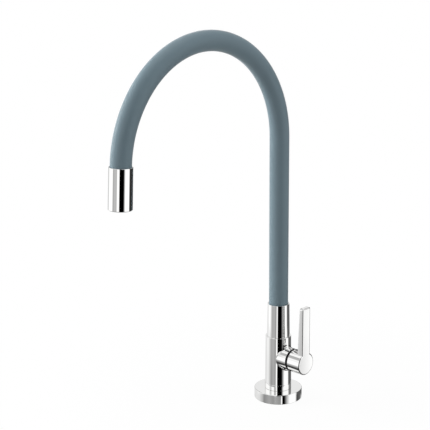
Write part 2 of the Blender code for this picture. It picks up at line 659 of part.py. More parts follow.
def make_body(frame, boss):
    body = turned(
        "tap_body",
        [(0, BODY_TOP), (BODY_TOP_RADIUS - BODY_EDGE, BODY_TOP), (BODY_TOP_RADIUS, BODY_TOP - BODY_EDGE)]
        + [(BODY_FOOT_RADIUS, BODY_BASE + BODY_EDGE), (BODY_FOOT_RADIUS - BODY_EDGE, BODY_BASE)]
        + [(0, BODY_BASE)],
        "chrome",
        frame,
        SHOWN_STEPS,
    )
    boss_solid = turned(
        "boss_solid",
        [(0, BOSS_REACH), (BOSS_RADIUS - BOSS_EDGE, BOSS_REACH), (BOSS_RADIUS, BOSS_REACH - BOSS_EDGE)]
        + [(BOSS_RADIUS, 0), (0, 0)],
        None,
        boss,
        SHOWN_STEPS,
    )
    combine(body, boss_solid, "UNION")
    shank = cylinder(
        "shank_socket", SHANK_SOCKET_RADIUS, BODY_BASE - OVERRUN, SHANK_SOCKET_TOP, None, frame
    )
    combine(body, shank)
    clip_low = SWIVEL_CLIP_BASE - GAP
    clip_high = SWIVEL_CLIP_CEILING
    clip_floor = SWIVEL_CLIP_RADIUS + GAP
    swivel = turned(
        "swivel_socket",
        [(0, BODY_TOP + OVERRUN), (SLIDE_SEAT_RADIUS, BODY_TOP + OVERRUN), (SLIDE_SEAT_RADIUS, SLIDE_SEAT)]
        + [(SWIVEL_BORE_RADIUS, SLIDE_SEAT), (SWIVEL_BORE_RADIUS, clip_high)]
        + [(clip_floor, clip_high), (clip_floor, clip_low)]
        + [(SWIVEL_BORE_RADIUS, clip_low), (SWIVEL_BORE_RADIUS, SWIVEL_FLOOR), (0, SWIVEL_FLOOR)],
        None,
        frame,
    )
    combine(body, swivel)
    port_end = -INLET_WAY_OFFSET
    chamber = turned(
        "valve_chamber",
        [(0, BOSS_REACH + OVERRUN), (VALVE_CHAMBER_RADIUS, BOSS_REACH + OVERRUN)]
        + [(VALVE_CHAMBER_RADIUS, VALVE_SEAT), (SEAT_PORT_RADIUS, VALVE_SEAT)]
        + [(SEAT_PORT_RADIUS, port_end), (0, port_end)],
        None,
        boss,
    )
    combine(body, chamber)
    inlet_way = side_hole(
        "inlet_way",
        WATERWAY_RADIUS,
        SHANK_SOCKET_TOP - OVERRUN,
        LEVER_HEIGHT + SEAT_PORT_RADIUS / 2,
        (-INLET_WAY_OFFSET, 0),
        frame,
    )
    combine(body, inlet_way)
    outlet_way = side_hole(
        "outlet_way",
        WATERWAY_RADIUS,
        LEVER_HEIGHT,
        SWIVEL_FLOOR + OVERRUN,
        (TURNING_DISC_BASE, 0),
        frame,
    )
    combine(body, outlet_way)


# Quarter-turn valve


def make_valve(boss, lever):
    ring(
        "seat_seal", DISC_CHAMBER_RADIUS, SEAT_PORT_RADIUS + GAP, SEAT_SEAL_BASE,
        SEAT_SEAL_BASE + SEAT_SEAL_HEIGHT, "black_rubber", boss,
    )
    make_disc("fixed_disc", FIXED_DISC_BASE, 0, boss)
    make_disc("turning_disc", TURNING_DISC_BASE, math.pi / 2, lever)
    make_valve_body(boss)
    bore = VALVE_CHAMBER_RADIUS
    oring("valve_oring", bore, VALVE_ORING_SECTION, VALVE_ORING_PLACE, boss)
    make_spindle(lever)


def make_disc(name, base, turn, parent):
    """A ceramic disc with two ports. The turning one stands a quarter turn round, so it is shut."""
    disc = cylinder(name, DISC_RADIUS, base, base + DISC_HEIGHT, "ceramic", parent)
    for side in (-1, 1):
        across = (
            side * DISC_PORT_OFFSET * math.cos(turn),
            side * DISC_PORT_OFFSET * math.sin(turn),
        )
        port = side_hole(
            f"{name}_port_{side + 1}",
            DISC_PORT_RADIUS,
            base - OVERRUN,
            base + DISC_HEIGHT + OVERRUN,
            across,
            parent,
            HIDDEN_STEPS // 2,
        )
        combine(disc, port)


def make_valve_body(boss):
    """The screwed-in housing: skirt round the discs, hexagon on the boss's face, and nose."""
    floor = oring_floor(VALVE_CHAMBER_RADIUS, VALVE_ORING_SECTION)
    housing = turned(
        "valve_body",
        [(0, VALVE_END), (VALVE_NOSE_RADIUS, VALVE_END), (VALVE_NOSE_RADIUS, VALVE_NOSE_BASE - GAP)]
        + [(VALVE_RADIUS, VALVE_NOSE_BASE - GAP)]
        + groove(VALVE_RADIUS, floor, VALVE_ORING_PLACE, VALVE_ORING_SECTION + GAP)
        + [(VALVE_RADIUS, FIXED_DISC_BASE), (0, FIXED_DISC_BASE)],
        "brass",
        boss,
    )
    hexagon_solid = prism(
        "valve_hexagon", hexagon(VALVE_HEX_ACROSS_FLATS), VALVE_HEX_BASE, VALVE_NOSE_BASE, None, boss
    )
    combine(housing, hexagon_solid, "UNION")
    bore = turned(
        "valve_bore",
        [(0, VALVE_END + OVERRUN), (STEM_BORE_RADIUS, VALVE_END + OVERRUN)]
        + [(STEM_BORE_RADIUS, DISC_CHAMBER_END), (DISC_CHAMBER_RADIUS, DISC_CHAMBER_END)]
        + [(DISC_CHAMBER_RADIUS, FIXED_DISC_BASE - OVERRUN), (0, FIXED_DISC_BASE - OVERRUN)],
        None,
        boss,
    )
    combine(housing, bore)
    reach = VALVE_RADIUS + OVERRUN
    window = cross_hole(
        "valve_window", VALVE_WINDOW_RADIUS, -reach, reach, TURNING_DISC_BASE, boss, HIDDEN_STEPS // 2
    )
    combine(housing, window)


def spline_outline(tip, root, teeth):
    """Straight-sided teeth round a circle: each has two tip corners and two root corners."""
    pitch_shares = (0, 0.25, 0.5, 0.75)
    pitch = 2 * math.pi / teeth
    points = []
    for tooth in range(teeth):
        for share, radius in zip(pitch_shares, (tip, tip, root, root)):
            angle = (tooth + share) * pitch
            points.append((radius * math.cos(angle), radius * math.sin(angle)))
    return points


def make_spindle(lever):
    floor = oring_floor(STEM_BORE_RADIUS, STEM_ORING_SECTION)
    spline_root = SPLINE_RADIUS - SPLINE_DEPTH
    foot_end = SPINDLE_BASE + SPINDLE_FOOT_HEIGHT
    stem = turned(
        "valve_spindle",
        [(0, SPLINE_BASE + GAP), (spline_root - GAP, SPLINE_BASE + GAP), (spline_root - GAP, SPLINE_BASE)]
        + [(STEM_CLIP_FLOOR, SPLINE_BASE), (STEM_CLIP_FLOOR, STEM_CLIP_BASE - GAP)]
        + [(STEM_RADIUS, STEM_CLIP_BASE - GAP)]
        + groove(STEM_RADIUS, floor, STEM_ORING_PLACE, STEM_ORING_SECTION + GAP)
        + [(STEM_RADIUS, foot_end), (DISC_RADIUS, foot_end), (DISC_RADIUS, SPINDLE_BASE)]
        + [(0, SPINDLE_BASE)],
        "brass",
        lever,
    )
    teeth = prism(
        "spindle_splines",
        spline_outline(SPLINE_RADIUS, spline_root, SPLINE_TEETH),
        SPLINE_BASE,
        SPINDLE_END,
        None,
        lever,
    )
    combine(stem, teeth, "UNION")
    oring("spindle_oring", STEM_BORE_RADIUS, STEM_ORING_SECTION, STEM_ORING_PLACE, lever)
    clip_bore = STEM_CLIP_FLOOR + GAP
    clip = ring(
        "spindle_clip", clip_bore + STEM_CLIP_WIDTH, clip_bore, STEM_CLIP_BASE,
        STEM_CLIP_BASE + STEM_CLIP_HEIGHT, "stainless_steel", lever,
    )
    opening = slot_box(
        "spindle_clip_opening",
        (clip_bore + STEM_CLIP_WIDTH + OVERRUN, STEM_CLIP_OPENING, STEM_CLIP_HEIGHT + OVERRUN),
        ((clip_bore + STEM_CLIP_WIDTH + OVERRUN) / 2, 0, STEM_CLIP_BASE + STEM_CLIP_HEIGHT / 2),
        lever,
    )
    combine(clip, opening)


# Lever


def blade_outline():
    """The blade in the lever's frame, where -X is up: straight sides that close in a little to a
    tip with rounded corners."""
    half = BLADE_WIDTH / 2
    tip_half = BLADE_TIP_WIDTH / 2
    corner = -BLADE_LENGTH + BLADE_CORNER
    left = arc((corner, tip_half - BLADE_CORNER), BLADE_CORNER, math.pi / 2, math.pi, CORNER_STEPS)
    right = arc((corner, BLADE_CORNER - tip_half), BLADE_CORNER, math.pi, 3 * math.pi / 2, CORNER_STEPS)
    return [(0, half), *left, *right, (0, -half)]


def make_lever(boss, lever):
    ring(
        "boss_ring", BOSS_RING_RADIUS, LEVER_CAVITY_RADIUS, BOSS_RING_BASE,
        BOSS_RING_BASE + BOSS_RING_WIDTH, "black_rubber", boss, SHOWN_STEPS,
    )
    cavity_end = STEM_CLIP_BASE + STEM_CLIP_HEIGHT + GAP
    rim = arc((LEVER_RADIUS - LEVER_RIM, LEVER_REACH - LEVER_RIM), LEVER_RIM, math.pi / 2, 0, EDGE_STEPS)
    handle = turned(
        "lever_handle",
        [(0, LEVER_REACH), *rim, (LEVER_RADIUS, LEVER_BASE + LEVER_BACK_EDGE)]
        + [(LEVER_RADIUS - LEVER_BACK_EDGE, LEVER_BASE), (LEVER_CAVITY_RADIUS, LEVER_BASE)]
        + [(LEVER_CAVITY_RADIUS, cavity_end), (0, cavity_end)],
        "chrome",
        lever,
        SHOWN_STEPS,
    )
    blade = prism("blade", blade_outline(), LEVER_REACH - BLADE_DEPTH, LEVER_REACH, None, lever)
    for vertex in blade.data.vertices:
        if vertex.co.z < LEVER_REACH - BLADE_DEPTH / 2:
            share = -vertex.co.x / BLADE_LENGTH
            vertex.co.z += share * (BLADE_DEPTH - BLADE_TIP_DEPTH)
    edge = blade.modifiers.new("Edge", "BEVEL")
    edge.width = BLADE_EDGE
    edge.segments = EDGE_STEPS
    edge.limit_method = "ANGLE"
    edge.angle_limit = SHARP_ANGLE
    combine(handle, blade, "UNION")
    socket = prism(
        "lever_socket",
        spline_outline(SPLINE_RADIUS + GAP, SPLINE_RADIUS - SPLINE_DEPTH + GAP, SPLINE_TEETH),
        cavity_end - OVERRUN,
        LEVER_SOCKET_END,
        None,
        lever,
    )
    combine(handle, socket)
    hole = cross_hole(
        "lever_screw_hole", LEVER_SCREW_RADIUS + GAP, SPLINE_RADIUS - SPLINE_DEPTH,
        LEVER_RADIUS + OVERRUN, LEVER_SCREW_PLACE, lever,
    )
    combine(handle, hole)
    screw_end = LEVER_SCREW_TIP + LEVER_SCREW_LENGTH
    screw_frame = axis_empty(
        "lever_screw_axis", (0, 0, LEVER_SCREW_PLACE), (0, math.pi / 2, 0), lever
    )
    screw = cylinder(
        "lever_screw", LEVER_SCREW_RADIUS, LEVER_SCREW_TIP, screw_end, "stainless_steel", screw_frame
    )
    key = prism(
        "lever_screw_key", hexagon(LEVER_SCREW_HEX), screw_end - LEVER_SCREW_HEX_DEPTH,
        screw_end + OVERRUN, None, screw_frame,
    )
    combine(screw, key)


# Swivel joint and collar


def make_swivel(frame, swivel):
    slide_low = SLIDE_SEAT + GAP
    ring(
        "slide_ring", SLIDE_RING_RADIUS, SWIVEL_BORE_RADIUS, slide_low,
        slide_low + SLIDE_RING_HEIGHT, "white_plastic", frame,
    )
    floor = oring_floor(SWIVEL_BORE_RADIUS, SWIVEL_ORING_SECTION)
    clip_middle = SWIVEL_CLIP_BASE + SWIVEL_CLIP_HEIGHT / 2
    clip_floor = SWIVEL_CLIP_BORE - GAP
    turned(
        "swivel_spigot",
        [(GOOSENECK_SOCKET_RADIUS, SPIGOT_TOP), (SPIGOT_NECK_RADIUS, SPIGOT_TOP)]
        + [(SPIGOT_NECK_RADIUS, SPIGOT_SHOULDER), (SPIGOT_RADIUS, SPIGOT_SHOULDER)]
        + groove(SPIGOT_RADIUS, clip_floor, clip_middle, SWIVEL_CLIP_HEIGHT / 2 + GAP)
        + groove(SPIGOT_RADIUS, floor, SWIVEL_ORING_HIGH, SWIVEL_ORING_HALF)
        + groove(SPIGOT_RADIUS, floor, SWIVEL_ORING_LOW, SWIVEL_ORING_HALF)
        + [(SPIGOT_RADIUS, SPIGOT_BASE + SPIGOT_EDGE), (SPIGOT_RADIUS - SPIGOT_EDGE, SPIGOT_BASE)]
        + [(FERRULE_BORE_RADIUS, SPIGOT_BASE), (FERRULE_BORE_RADIUS, SPIGOT_WEB_FOOT)]
        + [(HOSE_WAY_RADIUS, SPIGOT_WEB_FOOT), (HOSE_WAY_RADIUS, GOOSENECK_FLOOR)]
        + [(GOOSENECK_SOCKET_RADIUS, GOOSENECK_FLOOR)],
        "brass",
        swivel,
    )
    oring("swivel_oring_lower", SWIVEL_BORE_RADIUS, SWIVEL_ORING_SECTION, SWIVEL_ORING_LOW, swivel)
    oring("swivel_oring_upper", SWIVEL_BORE_RADIUS, SWIVEL_ORING_SECTION, SWIVEL_ORING_HIGH, swivel)
    clip = ring(
        "swivel_clip", SWIVEL_CLIP_RADIUS, SWIVEL_CLIP_BORE, SWIVEL_CLIP_BASE,
        SWIVEL_CLIP_BASE + SWIVEL_CLIP_HEIGHT, "white_plastic", swivel,
    )
    reach = SWIVEL_CLIP_RADIUS + OVERRUN
    opening = slot_box(
        "swivel_clip_opening",
        (SWIVEL_CLIP_OPENING, reach, SWIVEL_CLIP_HEIGHT + OVERRUN),
        (0, reach / 2, clip_middle),
        swivel,
    )
    combine(clip, opening)
    collar_bore = SPIGOT_NECK_RADIUS + GAP
    collar_seat_radius = SPIGOT_RADIUS + GAP
    seat_top = SPIGOT_SHOULDER + GAP
    turned(
        "spout_collar",
        [(SLEEVE_SOCKET_RADIUS, COLLAR_TOP), (COLLAR_TOP_RADIUS - COLLAR_EDGE, COLLAR_TOP)]
        + [(COLLAR_TOP_RADIUS, COLLAR_TOP - COLLAR_EDGE), (COLLAR_FOOT_RADIUS, COLLAR_BASE + COLLAR_EDGE)]
        + [(COLLAR_FOOT_RADIUS - COLLAR_EDGE, COLLAR_BASE), (collar_seat_radius, COLLAR_BASE)]
        + [(collar_seat_radius, seat_top), (collar_bore, seat_top)]
        + [(collar_bore, SPIGOT_TOP), (SLEEVE_SOCKET_RADIUS, SPIGOT_TOP)],
        "chrome",
        swivel,
        SHOWN_STEPS,
    )
    riser_ends = (GOOSENECK_FLOOR + GAP, FLEX_HEIGHT - FLEX_GAP / 2)
    bored_tube(
        "gooseneck_riser", straight_route, riser_ends, (GOOSENECK_RADIUS, GOOSENECK_BORE_RADIUS),
        (TUBE_BEVEL_STEPS, HOSE_BEVEL_STEPS), "stainless_steel", swivel,
    )
    ferrule_top = SPIGOT_WEB_FOOT - GAP
    ring(
        "hose_ferrule_lower", FERRULE_RADIUS, HOSE_WAY_RADIUS, ferrule_top - FERRULE_LENGTH,
        ferrule_top, "stainless_steel", swivel,
    )


# Spout and outlet head


def make_spout(flex):
    sleeve_ends = (SLEEVE_BASE, HEAD_GRIP - GAP)
    bored_tube(
        "silicone_sleeve", spout_route, sleeve_ends, (SLEEVE_RADIUS, SLEEVE_BORE_RADIUS),
        (SLEEVE_BEVEL_STEPS, TUBE_BEVEL_STEPS), "silicone", flex,
    )
    arch_ends = (FLEX_HEIGHT + FLEX_GAP / 2, NIPPLE_SOCKET_FLOOR - GAP)
    bored_tube(
        "gooseneck_arch", spout_route, arch_ends, (GOOSENECK_RADIUS, GOOSENECK_BORE_RADIUS),
        (TUBE_BEVEL_STEPS, HOSE_BEVEL_STEPS), "stainless_steel", flex,
    )
    hose_ends = (HOSE_BASE, NIPPLE_WEB_FOOT + FERRULE_REACH + HOSE_TAIL)
    bored_tube(
        "water_hose", spout_route, hose_ends, (HOSE_RADIUS, HOSE_BORE_RADIUS),
        (HOSE_BEVEL_STEPS, HOSE_BORE_BEVEL_STEPS), "hose_rubber", flex,
    )


def below(points):
    """Profile points given as depths below the head's top rim."""
    return [(radius, -depth) for radius, depth in points]


def make_head(head):
    turned(
        "head_sleeve",
        below(
            [(SLEEVE_SOCKET_RADIUS, 0), (HEAD_TOP_RADIUS - HEAD_EDGE, 0), (HEAD_TOP_RADIUS, HEAD_EDGE)]
            + [(HEAD_FOOT_RADIUS, HEAD_LENGTH - HEAD_EDGE), (HEAD_FOOT_RADIUS - HEAD_EDGE, HEAD_LENGTH)]
            + [(HEAD_CAVITY_RADIUS, HEAD_LENGTH), (HEAD_CAVITY_RADIUS, HEAD_CAVITY_TOP)]
            + [(HEAD_THREAD_RADIUS, HEAD_CAVITY_TOP), (HEAD_THREAD_RADIUS, HEAD_GRIP)]
            + [(SLEEVE_SOCKET_RADIUS, HEAD_GRIP)]
        ),
        "chrome",
        head,
        SHOWN_STEPS,
    )
    floor = oring_floor(HEAD_CAVITY_RADIUS, NIPPLE_ORING_SECTION)
    half = NIPPLE_ORING_SECTION + GAP
    ring_top = NIPPLE_ORING_PLACE - half
    ring_foot = NIPPLE_ORING_PLACE + half
    turned(
        "outlet_nipple",
        below(
            [(GOOSENECK_SOCKET_RADIUS, NIPPLE_TOP), (SPIGOT_NECK_RADIUS, NIPPLE_TOP)]
            + [(SPIGOT_NECK_RADIUS, NIPPLE_FLANGE_TOP), (NIPPLE_FLANGE_RADIUS, NIPPLE_FLANGE_TOP)]
            + [(NIPPLE_FLANGE_RADIUS, ring_top), (floor, ring_top), (floor, ring_foot)]
            + [(NIPPLE_FLANGE_RADIUS, ring_foot), (NIPPLE_FLANGE_RADIUS, NIPPLE_FOOT)]
            + [(FERRULE_BORE_RADIUS, NIPPLE_FOOT), (FERRULE_BORE_RADIUS, NIPPLE_WEB_FOOT)]
            + [(HOSE_WAY_RADIUS, NIPPLE_WEB_FOOT), (HOSE_WAY_RADIUS, NIPPLE_SOCKET_FLOOR)]
            + [(GOOSENECK_SOCKET_RADIUS, NIPPLE_SOCKET_FLOOR)]
        ),
        "brass",
        head,
    )
    oring("nipple_oring", HEAD_CAVITY_RADIUS, NIPPLE_ORING_SECTION, -NIPPLE_ORING_PLACE, head)
    ferrule_top = -NIPPLE_WEB_FOOT - GAP
    ring(
        "hose_ferrule_upper", FERRULE_RADIUS, HOSE_WAY_RADIUS, ferrule_top - FERRULE_LENGTH,
        ferrule_top, "stainless_steel", head,
    )
    washer_top = -AERATOR_WASHER_TOP
    ring(
        "aerator_washer", NIPPLE_FLANGE_RADIUS, AERATOR_WASHER_BORE, washer_top - AERATOR_WASHER_HEIGHT,
        washer_top, "black_rubber", head,
    )
    make_aerator(head)


def make_aerator(head):
    housing = turned(
        "aerator_housing",
        below(
            [(AERATOR_BORE_RADIUS, AERATOR_TOP), (NIPPLE_FLANGE_RADIUS, AERATOR_TOP)]
            + [(NIPPLE_FLANGE_RADIUS, AERATOR_FOOT), (AERATOR_BORE_RADIUS - AERATOR_LIP, AERATOR_FOOT)]
            + [(AERATOR_BORE_RADIUS - AERATOR_LIP, AERATOR_FOOT - AERATOR_LIP)]
            + [(AERATOR_BORE_RADIUS, AERATOR_FOOT - AERATOR_LIP)]
        ),
        "white_plastic",
        head,
    )
    span = 2 * (NIPPLE_FLANGE_RADIUS + OVERRUN)
    notch = slot_box(
        "key_notch",
        (KEY_NOTCH_WIDTH, span, 2 * KEY_NOTCH_DEPTH),
        (0, 0, -AERATOR_FOOT),
        head,
    )
    combine(housing, notch)
    low = -REGULATOR_TOP - REGULATOR_HEIGHT
    regulator = cylinder("flow_regulator", INSERT_RADIUS, low, -REGULATOR_TOP, "white_plastic", head)
    holes = []
    for i in range(REGULATOR_HOLES):
        angle = 2 * math.pi * i / REGULATOR_HOLES
        across = (REGULATOR_CIRCLE * math.cos(angle), REGULATOR_CIRCLE * math.sin(angle))
        hole = side_hole(
            f"regulator_hole_{i}", REGULATOR_HOLE_RADIUS, low - OVERRUN, OVERRUN - REGULATOR_TOP,
            across, head, SECTION_SIDES,
        )
        holes.append(hole)
    combine(regulator, joined_cutter("regulator_holes", holes, head))
    make_screen(head)


def make_screen(head):
    """A honeycomb: hexagonal cells in rings round a middle one."""
    foot = -SCREEN_FOOT
    screen = cylinder("aerator_screen", INSERT_RADIUS, foot, foot + SCREEN_HEIGHT, "white_plastic", head)
    cells = []
    for i in range(-SCREEN_RINGS, SCREEN_RINGS + 1):
        for j in range(-SCREEN_RINGS, SCREEN_RINGS + 1):
            if abs(i + j) > SCREEN_RINGS:
                continue
            cell = prism(
                f"screen_cell_{i}_{j}",
                [(y, x) for x, y in hexagon(SCREEN_CELL - SCREEN_BAR)],
                foot - OVERRUN,
                foot + SCREEN_HEIGHT + OVERRUN,
                None,
                head,
            )
            cell.location = (SCREEN_CELL * (i + j / 2), SCREEN_CELL * j * math.sin(math.pi / 3), 0)
            cells.append(cell)
    combine(screen, joined_cutter("screen_cells", cells, head))


def settle(parts):
    """Keeps each piece's evaluated shape, shaded smooth except across its sharp edges."""
    bpy.context.view_layer.update()
    graph = bpy.context.evaluated_depsgraph_get()
    shapes = {obj: bpy.data.meshes.new_from_object(obj.evaluated_get(graph)) for obj in parts}
    for obj, mesh in shapes.items():
        mesh.name = obj.name
        mesh.shade_smooth()
        mesh.set_sharp_from_angle(angle=SHARP_ANGLE)
        obj.modifiers.clear()
        obj.data = mesh


def main():
    frame = axis_empty("tap_frame", (0, 0, 0))
    boss = axis_empty("boss_axis", (0, 0, LEVER_HEIGHT), (0, math.pi / 2, 0), frame)
    lever = axis_empty("lever_axis", (0, 0, LEVER_HEIGHT), (0, math.pi / 2, 0), frame)
    swivel = axis_empty("swivel_axis", (0, 0, 0), parent=frame)
    flex = axis_empty("flex_axis", (0, 0, FLEX_HEIGHT), parent=swivel)
    end, direction = arch_point(ARCH_SWEEP)
    tilt = (ARCH_SWEEP - math.pi, 0, 0)
    head = axis_empty("head_axis", end - Vector((0, 0, FLEX_HEIGHT)), tilt, flex)
    bpy.context.view_layer.update()
    make_deck(frame)
    make_body(frame, boss)
    make_valve(boss, lever)
    make_lever(boss, lever)
    make_swivel(frame, swivel)
    make_spout(flex)
    make_head(head)
    settle(list(PARTS.objects))


main()
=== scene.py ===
"""Looks of a kitchen tap with a quarter-turn side lever and a silicone-skinned gooseneck spout.

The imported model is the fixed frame. The chrome, the silicone and the threads are modelled here as
fine meshes over it, the hidden pieces keep their own shapes, and every piece gets its finish.
"""
import json
import math

import bmesh
import bpy
from mathutils import Matrix, Vector


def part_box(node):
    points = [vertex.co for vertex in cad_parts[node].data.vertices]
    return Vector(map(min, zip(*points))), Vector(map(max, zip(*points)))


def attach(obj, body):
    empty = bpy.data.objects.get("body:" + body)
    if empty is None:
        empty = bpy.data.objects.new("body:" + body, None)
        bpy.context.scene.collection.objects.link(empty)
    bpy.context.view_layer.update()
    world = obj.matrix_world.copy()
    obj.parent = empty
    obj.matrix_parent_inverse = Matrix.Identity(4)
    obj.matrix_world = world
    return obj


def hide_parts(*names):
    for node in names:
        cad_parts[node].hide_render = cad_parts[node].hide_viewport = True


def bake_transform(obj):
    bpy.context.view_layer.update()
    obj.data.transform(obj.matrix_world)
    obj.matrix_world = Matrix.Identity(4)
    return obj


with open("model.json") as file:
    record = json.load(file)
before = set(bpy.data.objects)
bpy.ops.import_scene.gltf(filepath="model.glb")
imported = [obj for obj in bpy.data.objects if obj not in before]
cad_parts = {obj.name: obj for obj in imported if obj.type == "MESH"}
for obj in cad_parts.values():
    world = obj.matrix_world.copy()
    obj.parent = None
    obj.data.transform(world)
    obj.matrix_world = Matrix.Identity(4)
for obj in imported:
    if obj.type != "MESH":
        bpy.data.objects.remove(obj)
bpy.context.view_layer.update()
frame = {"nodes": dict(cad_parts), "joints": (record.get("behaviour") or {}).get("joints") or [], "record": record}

MM = 0.001
UP = Vector((0, 0, 1))
RIGHT = Vector((1, 0, 0))

# Fineness of the meshes
TURN_STEPS = 192
THREAD_STEPS = 72
THREAD_ROWS = 10
TUBE_SIDES = 96
HOLE_SIDES = 48
ARC_STEPS = 6

# How far from an arc the points beside it lie, how deep the boss's foot sinks into the body, and
# the angle from which an edge is shaded sharp
SUPPORT = 0.12 * MM
SINK = 0.05 * MM
SHARP = math.radians(28)

# Pin-holes that close a turned profile near its axis, and how far a cut runs past a surface
BODY_CORE = 0.5 * MM
LEVER_CORE = 0.3 * MM
OVERRUN = 1.0 * MM

# Small roundings that the plain solids leave out
FLANGE_TOP_EDGE = 0.55 * MM
FLANGE_FOOT_EDGE = 0.25 * MM
FOOT_RING_EDGE = 0.12 * MM
FOOT_RING_LOW_EDGE = 0.12 * MM
BODY_TOP_EDGE = 0.2 * MM
BODY_LOW_EDGE = 0.45 * MM
COLLAR_EDGE = 0.15 * MM
HEAD_EDGE = 0.35 * MM
HEAD_FOOT_EDGE = 0.6 * MM
BORE_EDGE = 0.2 * MM
BOSS_EDGE = 0.15 * MM
BOSS_FILLET = 2.6 * MM
RING_EDGE = 0.15 * MM
TUBE_END_EDGE = 0.5 * MM

# Roundings of the solids. Their radii are read just past these, from points this near to a height
SOLID_BODY_EDGE = 0.45 * MM
SOLID_COLLAR_EDGE = 0.35 * MM
NEAR = 0.1 * MM

# Sockets that the body, collar and head keep open for the pieces inside them
SWIVEL_SOCKET_DEPTH = 12.5 * MM
SLIDE_SEAT_RADIUS = 11.9 * MM
SHANK_SOCKET_DEPTH = 15.2 * MM
VALVE_CHAMBER_RADIUS = 8.3 * MM
SEAL_GROOVE_DEPTH = 2.2 * MM

# Clearance round what a socket holds, and how far a lower edge closes the gap below it
FIT = 0.3 * MM
JOINT_CLOSE = 0.2 * MM

# The black ring: how far it reaches past its solid and into the lever, how far it stands proud of
# its solid, and the crevice on each side of it
RING_REVEAL = 0.55 * MM
RING_LIP = 0.2 * MM
RING_CREVICE = 0.06 * MM

# Lever
LEVER_CHAMFER = 0.8 * MM
LEVER_FRONT_ROUND = 1.0 * MM
LEVER_RIM = 0.6 * MM
LEVER_BACK_EDGE = 0.15 * MM
LEVER_CAVITY_DEPTH = 7.85 * MM
BLADE_WIDTH = 12.2 * MM
BLADE_TIP_WIDTH = 11.9 * MM
BLADE_DEPTH = 7.45 * MM
BLADE_TIP_DEPTH = 4.6 * MM
BLADE_CORNER = 1.8 * MM
BLADE_EDGE = 0.62 * MM
BLADE_EDGE_ROUND = 1.2 * MM
BLADE_SIDE_ROUND = 0.1 * MM
BLADE_BACK_EDGE = 0.3 * MM
BLADE_CROWN = 0.04 * MM
# Keeps the blade's front out of the plane of the barrel's
BLADE_SET_BACK = 0.002 * MM
# How far back through the blade each row lies, and its share of the crown
BLADE_CROWNS = ((0.3, 0.6), (0.45, 0.95), (0.6, 1.0), (0.75, 0.75))
SCREW_HOLE_RADIUS = 2.5 * MM

# Threads of the shank and the nut on it
THREAD_PITCH = 1.814 * MM
THREAD_DEPTH = 1.16 * MM
THREAD_RUNOUT = 1.5 * MM
SHANK_TOP_EDGE = 0.8 * MM
NUT_CHAMFER = 1.2 * MM

# Route of the spout, and where its skin bends
RISER_TOP = 284.2 * MM
ARCH_RADIUS = 109.0 * MM
ARCH_SWEEP = math.radians(176.9)
ROUTE_STEP = 1.6 * MM
SKIN_WALL = 2.2 * MM
HOSE_WALL = 1.9 * MM

# How deep the head holds the skin, the aerator and the hose
HEAD_GRIP = 12.0 * MM
HEAD_CAVITY = 15.7 * MM
HOSE_DEPTH = 29.0 * MM

# Studio
CAMERA_PLACE = Vector((844.08 * MM, -969.92 * MM, 548.52 * MM))
CAMERA_AZIMUTH = math.radians(44.0)
CAMERA_ELEVATION = math.radians(15.09)
CAMERA_ROLL = math.radians(-0.44)
CAMERA_LENS = 107.106
CAMERA_SENSOR = 36
CAMERA_CLIP = (0.05, 20)
LAMP_SIZE = 0.7
LAMP_AIM = Vector((0, -0.08, 0.2))
# Name, azimuth from -Y towards +X and elevation in degrees, distance in metres, watts
LAMPS = (
    ("key", -60, 18, 0.9, 11.9),
    ("front", 5, 10, 0.75, 1.4),
    ("fill", 130, 15, 1.3, 6.5),
    ("top", 0, 88, 1.3, 8),
)
# The even light outside reflections, and the share of the light that the plating gives back
AMBIENT = 0.28
PLATING_SHINE = 0.93
# The worktop: half its side in metres, its grey under the lamps, how far short of white it shows
# beside the tap, and the distances in metres over which that fades
FLOOR_REACH = 8.0
FLOOR_GREY = 0.6
FLOOR_SHADE = 0.035
FLOOR_FADE = (0.06, 0.35)

JOINTS = {joint["name"]: joint for joint in frame["joints"]}
MOUNTS = {mount["name"]: mount for mount in frame["record"]["mounts"]}


class Span:
    """How far a node reaches from an axis and along it."""

    def __init__(self, node, origin=Vector(), axis=UP):
        points = [vertex.co - origin for vertex in frame["nodes"][node].data.vertices]
        heights = [point.dot(axis) for point in points]
        radii = [(point - height * axis).length for point, height in zip(points, heights)]
        self.low = min(heights)
        self.high = max(heights)
        self.bore = min(radii)
        self.radius = max(radii)
        self.rings = list(zip(heights, radii))

    def radius_at(self, height):
        """The largest radius among the node's points near a height."""
        return max(radius for level, radius in self.rings if abs(level - height) <= NEAR)


# Meshes


def fillet(before, corner, after, radius):
    """Points of the arc that rounds a corner of a profile, with a support point on each side."""
    towards = (before - corner).normalized()
    onwards = (after - corner).normalized()
    half = towards.angle(onwards) / 2
    reach = radius / math.tan(half)
    middle = corner + (towards + onwards).normalized() * (radius / math.sin(half))
    start = corner + towards * reach - middle
    end = corner + onwards * reach - middle
    sweep = start.angle(end)
    arc = []
    for i in range(ARC_STEPS + 1):
        before_share = math.sin(sweep * (1 - i / ARC_STEPS))
        after_share = math.sin(sweep * i / ARC_STEPS)
        arc.append(middle + (start * before_share + end * after_share) / math.sin(sweep))
    return [corner + towards * (reach + SUPPORT), *arc, corner + onwards * (reach + SUPPORT)]


def rounded(corners, closed=True):
    """A profile of (radius, height, rounding) corners as points, with arcs for the rounded ones."""
    points = []
    count = len(corners)
    flat = [Vector(corner[:2]) for corner in corners]
    for i, corner in enumerate(corners):
        rounding = corner[2] if len(corner) > 2 else 0
        if rounding and (closed or 0 < i < count - 1):
            points += fillet(flat[i - 1], flat[i], flat[(i + 1) % count], rounding)
        else:
            points.append(flat[i])
    return points


def piece(name, mesh, finish):
    """An object of a finished mesh, whose points are already in place."""
    obj = bpy.data.objects.new(name, mesh)
    bpy.context.scene.collection.objects.link(obj)
    mesh.materials.append(FINISHES[finish])
    return obj


